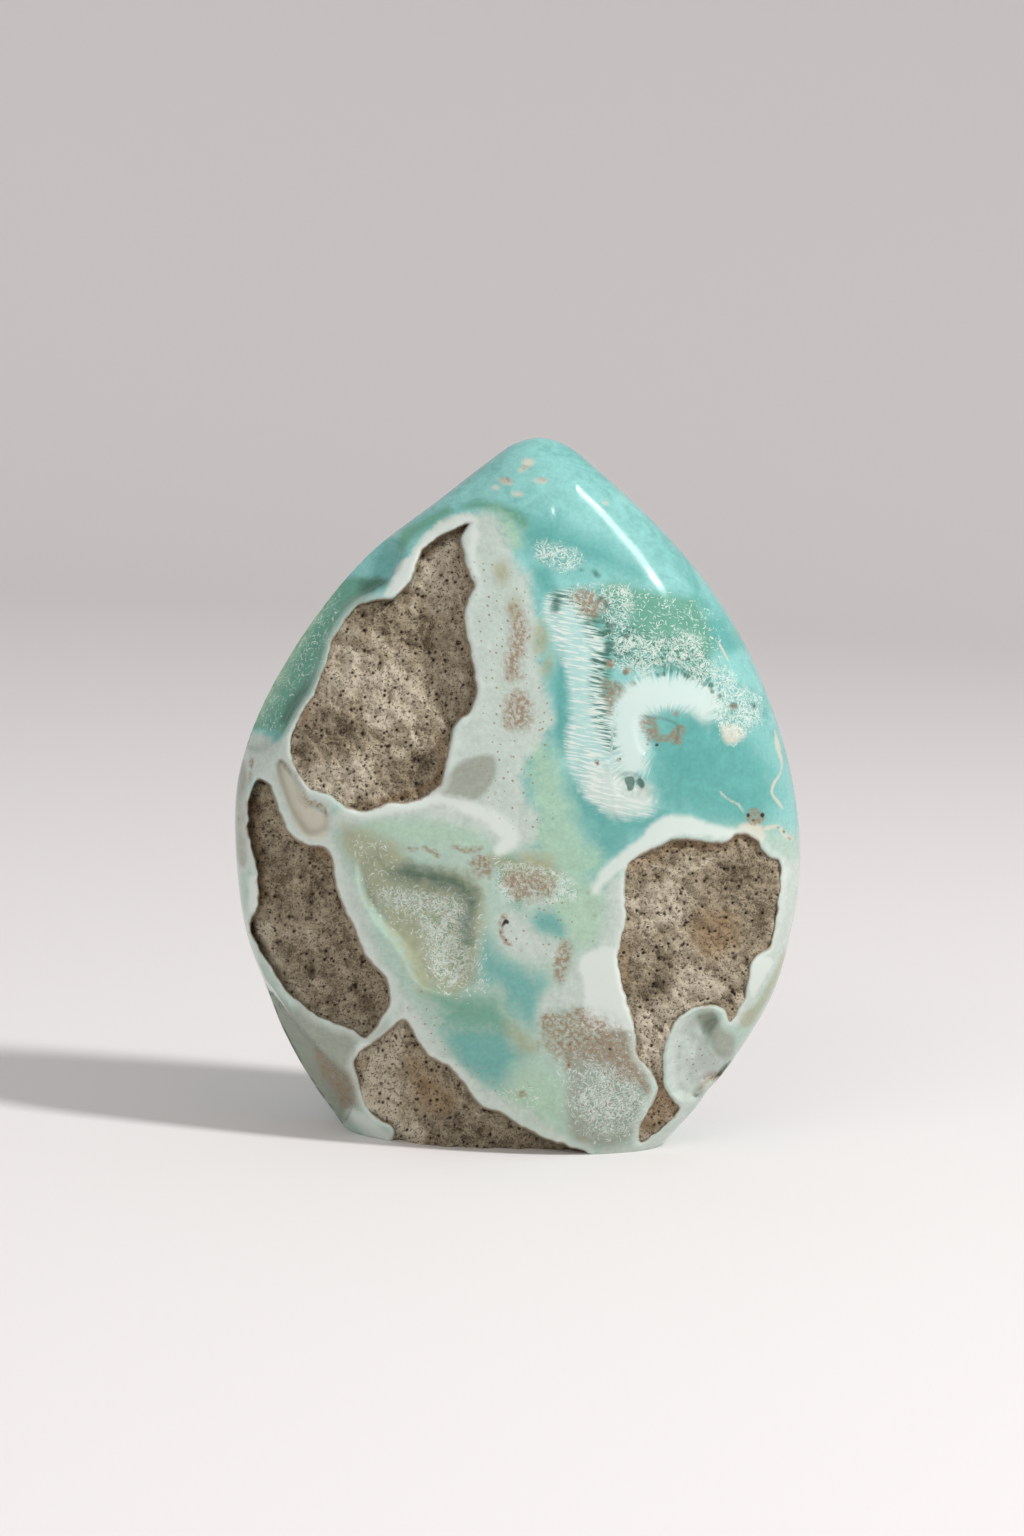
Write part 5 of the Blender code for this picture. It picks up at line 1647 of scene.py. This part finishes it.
    # Under the lace the ground is darker between crooked lines of crystal.
    between = add(tree, "MapRange", {"Value": noises["mottle"], "From Min": 0.52, "From Max": 0.4})
    between = add(tree, "Math", {0: between, 1: there["lace"]}, operation="MULTIPLY")
    between = add(tree, "Math", {0: between, 1: 0.5}, operation="MULTIPLY")
    tone = laid_over(tone, between, settings.sea_green)
    worm = add(tree, "Math", {0: noises["worm"], 1: 0.5, 2: 0.022}, operation="COMPARE")
    worm = add(tree, "Math", {0: worm, 1: there["lace"]}, operation="MULTIPLY")
    crystals = add(tree, "Math", {0: worm, 1: needles}, operation="MAXIMUM")
    crystals = add(tree, "Math", {0: crystals, 1: ray}, operation="MAXIMUM")
    crystals = add(tree, "Math", {0: crystals, 1: 0.85}, operation="MULTIPLY")
    tone = laid_over(tone, crystals, settings.white)

    # Dark gaps between crystals, and painted shade under the walls of hollows in the same dark green; iron
    # stained grains, and painted shade along the channel's wall in the same brown; small dark dots; and open
    # pits painted near black as the shade inside them.
    tone = laid_over(tone, there["dark_green"], settings.dark_green)
    sandy = add(
        tree, "MapRange",
        {"Value": noises["mottle"], "From Min": 0.42, "From Max": 0.62, "To Min": 1.0, "To Max": 0.25},
    )
    stain = add(tree, "Math", {0: there["brown"], 1: sandy}, operation="MULTIPLY")
    tone = laid_over(tone, stain, settings.brown)
    dot = add(tree, "TexVoronoi", {"Vector": flat, "Scale": 0.85}, voronoi_dimensions="2D")
    chance = add(tree, "SeparateColor", {0: dot.outputs["Color"]})
    size = add(tree, "Math", {0: chance.outputs[1], 1: 0.17}, operation="MULTIPLY")
    speck = add(tree, "Math", {0: size, 1: dot.outputs["Distance"]}, operation="SUBTRACT")
    speck = add(tree, "MapRange", {"Value": speck, "From Min": 0.0, "From Max": 0.05, "To Max": 0.75})
    speck = add(tree, "Math", {0: speck, 1: there["specks"]}, operation="MULTIPLY")
    tone = laid_over(tone, speck, settings.brown)
    tone = laid_over(tone, there["pit"], settings.pit)

    # The lip of a rough window is paler, partly the white rim round the window and partly painted highlight on
    # the rounded lip, and stained where it meets the matrix.
    window = add(tree, "Attribute", attribute_name="window_gap").outputs["Fac"]
    window = add(tree, "Math", {0: torn, 1: 0.8, 2: window}, operation="MULTIPLY_ADD")
    pale = add(
        tree, "MapRange", {"Value": window, "From Min": -1.5, "From Max": -0.3, "To Max": 0.45},
        interpolation_type="SMOOTHSTEP",
    )
    tone = laid_over(tone, pale, settings.white)
    edge = add(
        tree, "MapRange", {"Value": window, "From Min": -0.25, "From Max": 0.15, "To Max": 0.8},
        interpolation_type="SMOOTHSTEP",
    )
    tone = laid_over(tone, edge, settings.brown)

    dull = add(tree, "Math", {0: edge, 1: there["pit"]}, operation="MAXIMUM")
    dull = add(tree, "Math", {0: dull, 1: stain}, operation="MAXIMUM")
    dullness = add(tree, "MapRange", {"Value": dull, "To Min": 0.1, "To Max": 0.6})
    relief = add(tree, "Math", {0: there["pit"], 1: -3.0, 2: crystals}, operation="MULTIPLY_ADD")
    relief = add(tree, "Math", {0: speck, 1: -1.0, 2: relief}, operation="MULTIPLY_ADD")
    bump = add(tree, "Bump", {"Height": relief, "Strength": 0.2, "Distance": 0.00006})
    shader = add(tree, "BsdfPrincipled", {
        "Base Color": tone, "Roughness": dullness, "IOR": 1.6, "Normal": bump,
        "Subsurface Weight": 0.15, "Subsurface Radius": (0.6, 1.0, 0.9), "Subsurface Scale": 0.0012,
    })
    add(tree, "OutputMaterial", {"Surface": shader})
    return material


def broken_matrix(settings):
    """Broken limestone matrix, left as it split, which gives a dry sandy face with no shine.

    Its sand is 0.05 to 0.3 mm across. The coarser grains are in the mesh, and the
    pores are drawn about 0.4 mm apart.
    """
    material = empty_material("broken_limestone_matrix")
    tree = material.node_tree
    values = {}
    for name in ("relief", "pore", "light", "dark", "rust"):
        values[name] = add(tree, "Attribute", attribute_name=name).outputs["Fac"]
    flat = add(tree, "Attribute", attribute_name="flat").outputs["Vector"]
    noises = {}
    for name, scale, detail, roughness in (
        ("patches", 0.4, 5.0, 0.65),
        ("sand", 4.6, 3.0, 0.75),
        ("bend", 1.6, 2.0, 0.5),
        ("worm", 1.5, 1.0, 0.5),
    ):
        noises[name] = add(
            tree, "TexNoise", {"Vector": flat, "Scale": scale, "Detail": detail, "Roughness": roughness},
            noise_dimensions="2D",
        )
    warped = add(
        tree, "VectorMath", {0: noises["bend"].outputs["Color"], 1: (0.9, 0.9, 0.0), 2: flat},
        operation="MULTIPLY_ADD",
    )
    for name in ("light", "dark", "rust"):
        values[name] = add(
            tree, "MapRange", {"Value": values[name], "From Min": -1.0, "From Max": 1.0},
            interpolation_type="SMOOTHSTEP",
        )
    # The tone follows the floor's height: painted shade in its hollows and painted light on its high grains,
    # mixed with patches and sand of lighter and darker matrix and with the window's painted light, painted
    # shade and rust.
    level = add(tree, "Math", {0: noises["patches"], 1: 1.3, 2: values["relief"]}, operation="MULTIPLY_ADD")
    level = add(tree, "Math", {0: noises["sand"], 1: 1.1, 2: level}, operation="MULTIPLY_ADD")
    level = add(tree, "Math", {0: values["light"], 1: 0.5, 2: level}, operation="MULTIPLY_ADD")
    level = add(tree, "Math", {0: values["dark"], 1: -0.5, 2: level}, operation="MULTIPLY_ADD")
    worm = add(tree, "Math", {0: noises["worm"], 1: 0.5}, operation="SUBTRACT")
    worm = add(tree, "Math", {0: worm}, operation="ABSOLUTE")
    worm = add(tree, "MapRange", {"Value": worm, "From Min": 0.035, "From Max": 0.0, "To Max": 0.4})
    level = add(tree, "Math", {0: level, 1: worm}, operation="ADD")
    low = add(
        tree, "MapRange", {"Value": level, "From Min": 0.25, "From Max": 1.1},
        interpolation_type="SMOOTHSTEP",
    )
    high = add(
        tree, "MapRange", {"Value": level, "From Min": 1.0, "From Max": 2.0},
        interpolation_type="SMOOTHSTEP",
    )
    tone = add(tree, "Mix", {0: low, 6: (*settings.dark, 1.0), 7: (*settings.middle, 1.0)}, data_type="RGBA")
    tone = add(tree, "Mix", {0: high, 6: tone, 7: (*settings.light, 1.0)}, data_type="RGBA")
    rusty = add(tree, "Math", {0: values["rust"], 1: 0.6}, operation="MULTIPLY")
    tone = add(tree, "Mix", {0: rusty, 6: tone, 7: (*settings.rust, 1.0)}, data_type="RGBA")
    # Fine pores drawn about 0.4 mm apart, and the pits of the mesh: painted shade inside them, and a dent in
    # the bump.
    cell = add(tree, "TexVoronoi", {"Vector": warped, "Scale": 2.7}, voronoi_dimensions="2D")
    chance = add(tree, "SeparateColor", {0: cell.outputs["Color"]})
    size = add(tree, "Math", {0: chance.outputs[0], 1: 0.42}, operation="MULTIPLY")
    pore = add(tree, "Math", {0: size, 1: cell.outputs["Distance"]}, operation="SUBTRACT")
    pore = add(tree, "MapRange", {"Value": pore, "From Min": 0.0, "From Max": 0.12, "To Max": 0.7})
    open_pore = add(tree, "Math", {0: pore, 1: values["pore"]}, operation="MAXIMUM")
    tone = add(tree, "Mix", {0: open_pore, 6: tone, 7: (*settings.pore, 1.0)}, data_type="RGBA")
    height = add(tree, "Math", {0: open_pore, 1: -1.0, 2: noises["sand"]}, operation="MULTIPLY_ADD")
    bump = add(tree, "Bump", {"Height": height, "Strength": 0.7, "Distance": 0.00014})
    shader = add(
        tree, "BsdfPrincipled",
        {"Base Color": tone, "Roughness": 0.88, "IOR": 1.55, "Specular IOR Level": 0.3, "Normal": bump},
    )
    add(tree, "OutputMaterial", {"Surface": shader})
    return material


# The lamps point at this place in the stone, in metres. The floor's sweep steepens as this power.
LAMP_AIM = Vector((0.0, 0.0, 0.07))
SWEEP_POWER = 2.2


def studio_paint(settings):
    """Matt emulsion paint, rolled on, which gives a plain soft surface."""
    material = empty_material("matt_emulsion")
    tree = material.node_tree
    place = add(tree, "TexCoord").outputs["Object"]
    nap = add(tree, "TexNoise", {"Vector": place, "Scale": 900.0, "Detail": 2.0}).outputs[0]
    bump = add(tree, "Bump", {"Height": nap, "Strength": 0.05, "Distance": 0.0002}).outputs[0]
    shader = add(
        tree, "BsdfPrincipled", {"Base Color": (*settings.floor, 1.0), "Roughness": 0.8, "Normal": bump},
    )
    add(tree, "OutputMaterial", {"Surface": shader.outputs[0]})
    return material


def broken_texture(u, v, seed):
    """How much deeper than its broad form a broken floor lies at each place, from folds down to pores."""
    along = 0.62 * u - 0.78 * v
    across = 0.78 * u + 0.62 * v
    folds = 0.32 * waves(across / 1.0, along / 2.0, 1.5, seed) + 0.3 * waves(u, v, 2.6, seed + 6)
    lumps = 0.2 * waves(u, v, 1.25, seed + 1) + 0.13 * waves(u, v, 0.7, seed + 2)
    near, kind = grains(u + 0.2 * waves(u, v, 0.8, seed + 7), v, 0.5, seed + 3)
    grain = 0.2 * (near - 0.45) * (0.3 + kind)
    small, small_kind = grains(u, v, 0.33, seed + 4)
    pores = 0.14 * smooth_step(0.42, 0.1, small) * (small_kind > 0.45)
    opening = waves(u, v, 1.7, seed + 5) + 0.7 * waves(u, v, 0.8, seed + 8)
    pit_near, pit_kind = grains(u, v, 1.15, seed + 9)
    pitted = smooth_step(0.0, 0.5, opening + 0.5 * pit_kind - 0.1)
    pits = smooth_step(0.1 + 0.16 * pit_kind, 0.05, pit_near) * pitted
    hollows = 0.35 * smooth_step(0.45, 1.1, opening)
    return folds, lumps, grain + pores, hollows + 0.45 * pits, pits


def crust(name, line, floor, front, settings, material, seed):
    """The rough floor of a window: a fine grid of broken grains and pits."""
    step = settings.step / MM
    low = line.min(axis=0) - 0.4
    high = line.max(axis=0) + 0.4
    across = np.arange(low[0], high[0], step)
    up = np.arange(low[1], high[1], step)
    grid_u, grid_v = np.meshgrid(across, up)
    u, v = grid_u.ravel(), grid_v.ravel()
    gap = gap_to(line, u, v, 1.0)
    kept = gap > -0.3
    number = np.full(len(u), -1)
    number[kept] = np.arange(kept.sum())
    number = number.reshape(grid_u.shape)
    corners = (number[:-1, :-1], number[:-1, 1:], number[1:, 1:], number[1:, :-1])
    quads = np.stack(corners, axis=-1).reshape(-1, 4)
    quads = quads[(quads >= 0).all(axis=1)]
    u, v, gap = u[kept], v[kept], gap[kept]
    folds, lumps, fine, open_pits, pits = broken_texture(u, v, seed)
    depth = np.maximum(floor(u, v) + folds + lumps + fine + open_pits, 0.25)
    if front:
        y = np.full(len(u), -10.0)
        for _ in range(12):
            x, z = to_part(u, v, y)
            y = 0.5 * y + 0.5 * (skin_y(x, z, True) + depth)
        scooped = np.maximum(gap_to(SIDE_HOLLOWS[0], u, v, 1.0), gap_to(SIDE_HOLLOWS[1], u, v, 1.0))
        y = np.where(scooped > -0.6, np.maximum(y, scoop_y(x, z) + 0.4), y)
        x, z = to_part(u, v, y)
    else:
        x, z = -u, v
        y = skin_y(x, z, False) - depth
        quads = quads[:, ::-1]
    obj = add_mesh(name, place_in_model(np.stack([x, y, z], axis=1)), quads, material)
    # Height of each point against its neighbours, and its pits: the matrix material paints shade into the
    # hollows and pits and light onto the high grains.
    store(obj, "relief", np.clip(-0.55 * folds - 1.1 * lumps - 1.6 * fine - 1.2 * open_pits, -1.0, 1.0))
    store(obj, "pore", pits)
    store_vector(obj, "flat", u, v)
    return obj, u, v


def finish_piece(obj):
    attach(obj, "root")


class FLAME_OT_polished_stone(bpy.types.Operator):
    """Builds the polished stone with its lips, walls and smooth hollows"""

    bl_idname = "flame.polished_stone"
    bl_label = "Polished stone"

    def execute(self, context):
        settings = context.scene.flame_stone
        points, faces = stone_mesh(settings)
        obj = add_mesh("polished_stone", place_in_model(points), faces, polished_aragonite(settings))
        cut_flat_foot(obj, True)
        place = from_model(mesh_points(obj))
        x, y, z = place.T
        u, v = to_eye(x, y, z)
        behind = smooth_step(0.0, 8.0, y)
        for name in FRONT_MINERALS:
            front = mineral_field(FRONT_MINERALS[name], u, v)
            back = mineral_field(BACK_MINERALS.get(name, []), -x, z)
            store(obj, name, front * (1.0 - behind) + back * behind)
        across, along = fibre_places(u, v)
        store_vector(obj, "fibre", across, along)
        store_vector(obj, "flat", *unroll(x, z))
        gap = np.full(len(u), -3.0)
        for recesses, a, b, side in ((FRONT_RECESSES, u, v, y < 0.0), (BACK_RECESSES, -x, z, y >= 0.0)):
            for _, line, _, _, rough_floor in recesses:
                if rough_floor:
                    gap[side] = np.maximum(gap[side], gap_to(line, a[side], b[side], 3.0))
        store(obj, "window_gap", gap)
        unroll_map(obj)
        finish_piece(obj)
        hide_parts("aragonite_flame")
        return {"FINISHED"}


class FLAME_OT_rough_windows(bpy.types.Operator):
    """Builds the rough matrix in the sunken windows of the front and the back"""

    bl_idname = "flame.rough_windows"
    bl_label = "Rough windows"

    def execute(self, context):
        settings = context.scene.flame_matrix
        material = broken_matrix(settings)
        seed = 100
        for front, recesses in ((True, FRONT_RECESSES), (False, BACK_RECESSES)):
            for name, line, floor, _, rough_floor in recesses:
                seed += 20
                if not rough_floor:
                    continue
                obj, u, v = crust(name + "_matrix", line, floor, front, settings, material, seed)
                for tone in ("light", "dark", "rust"):
                    store(obj, tone, mineral_field(MATRIX_TONES.get(name, {}).get(tone, []), u, v))
                if name == "lower_window":
                    cut_flat_foot(obj, False)
                finish_piece(obj)
        return {"FINISHED"}


class FLAME_OT_studio(bpy.types.Operator):
    """Builds the pale floor, the soft lights and the camera"""

    bl_idname = "flame.studio"
    bl_label = "Studio"

    def execute(self, context):
        settings = context.scene.flame_studio
        scene = context.scene
        rings = 60
        turns = 96
        points = [(0.0, 0.0, 0.0)]
        for ring in range(1, rings + 1):
            radius = settings.sweep_radius * ring / rings
            rise = max(0.0, (radius - settings.flat_radius) / (settings.sweep_radius - settings.flat_radius))
            for turn in range(turns):
                angle = 2.0 * math.pi * turn / turns
                height = settings.sweep_height * rise ** SWEEP_POWER
                points.append((radius * math.cos(angle), radius * math.sin(angle), height))
        faces = [(0, 1 + turn, 1 + (turn + 1) % turns) for turn in range(turns)]
        for ring in range(rings - 1):
            for turn in range(turns):
                a = 1 + ring * turns + turn
                b = 1 + ring * turns + (turn + 1) % turns
                faces.append((a, a + turns, b + turns, b))
        mesh = bpy.data.meshes.new("studio_floor")
        mesh.from_pydata(points, [], faces)
        mesh.shade_smooth()
        mesh.materials.append(studio_paint(settings))
        floor = bpy.data.objects.new("studio_floor", mesh)
        scene.collection.objects.link(floor)

        right = Vector((1.0, 0.0, 0.0))
        up = Vector((0.0, math.sin(EYE_TILT), math.cos(EYE_TILT)))
        forward = Vector((0.0, math.cos(EYE_TILT), -math.sin(EYE_TILT)))
        camera_data = bpy.data.cameras.new("camera")
        camera_data.lens = 100.0
        camera_data.sensor_width = 36.0
        camera_data.clip_start = 0.01
        camera = bpy.data.objects.new("camera", camera_data)
        scene.collection.objects.link(camera)
        aim = Matrix((right, up, -forward)).transposed() @ Matrix.Rotation(EYE_ROLL, 3, "Z")
        centre = right * EYE_AXIS_U + up * (EYE_AXIS_V - FOOT_V) - forward * EYE_DISTANCE
        centre = (centre - Vector((MIDDLE_X, MIDDLE_Y, 0.0))) * MM
        camera.matrix_world = Matrix.Translation(centre) @ aim.to_4x4()
        scene.camera = camera

        # Name, direction from the stone, distance, size, power, and whether the polish mirrors it.
        lamps = [
            ("key", (0.63, -0.27, 0.73), 1.0, (0.12, 0.12), 7.0, False),
            ("softbox", (0.63, -0.27, 0.73), 1.0, (0.075, 0.15), 1.3, True),
            ("spark", (0.229, -0.658, 0.717), 1.0, (0.03, 0.022), 0.05, True),
            ("front_fill", (-0.35, -0.85, 0.45), 1.5, (0.9, 0.7), 5.0, False),
        ]
        for name, way, distance, size, power, mirrored in lamps:
            lamp_data = bpy.data.lights.new(name, "AREA")
            lamp_data.shape = "RECTANGLE"
            lamp_data.size, lamp_data.size_y = size
            lamp_data.energy = power
            lamp = bpy.data.objects.new(name, lamp_data)
            scene.collection.objects.link(lamp)
            lamp.location = Vector(way).normalized() * distance + LAMP_AIM
            lamp.rotation_euler = (LAMP_AIM - lamp.location).to_track_quat("-Z", "Y").to_euler()
            lamp.visible_glossy = mirrored
        world = bpy.data.worlds.new("studio_air")
        world.use_nodes = True
        back = world.node_tree.nodes["Background"]
        back.inputs["Color"].default_value = (*linear("E4E1E1"), 1.0)
        back.inputs["Strength"].default_value = 0.6
        scene.world = world
        scene.view_settings.view_transform = "Standard"
        return {"FINISHED"}


class FLAME_PT_panel(bpy.types.Panel):
    """Lists the pieces of the flame and their settings"""

    bl_idname = "FLAME_PT_panel"
    bl_label = "Blue Aragonite Flame"
    bl_space_type = "VIEW_3D"
    bl_region_type = "UI"
    bl_category = "Flame"

    def draw(self, context):
        layout = self.layout
        for operator, settings in (
            ("flame.studio", context.scene.flame_studio),
            ("flame.polished_stone", context.scene.flame_stone),
            ("flame.rough_windows", context.scene.flame_matrix),
        ):
            layout.operator(operator)
            for name in settings.__annotations__:
                layout.prop(settings, name)


CLASSES = (
    StoneSettings, MatrixSettings, StudioSettings,
    FLAME_OT_polished_stone, FLAME_OT_rough_windows, FLAME_OT_studio, FLAME_PT_panel,
)


def register():
    for item in CLASSES:
        bpy.utils.register_class(item)
    bpy.types.Scene.flame_stone = PointerProperty(type=StoneSettings)
    bpy.types.Scene.flame_matrix = PointerProperty(type=MatrixSettings)
    bpy.types.Scene.flame_studio = PointerProperty(type=StudioSettings)


def unregister():
    del bpy.types.Scene.flame_studio
    del bpy.types.Scene.flame_matrix
    del bpy.types.Scene.flame_stone
    for item in reversed(CLASSES):
        bpy.utils.unregister_class(item)


def main():
    register()
    bpy.ops.flame.studio()
    bpy.ops.flame.polished_stone()
    bpy.ops.flame.rough_windows()


if __name__ == "__main__":
    main()
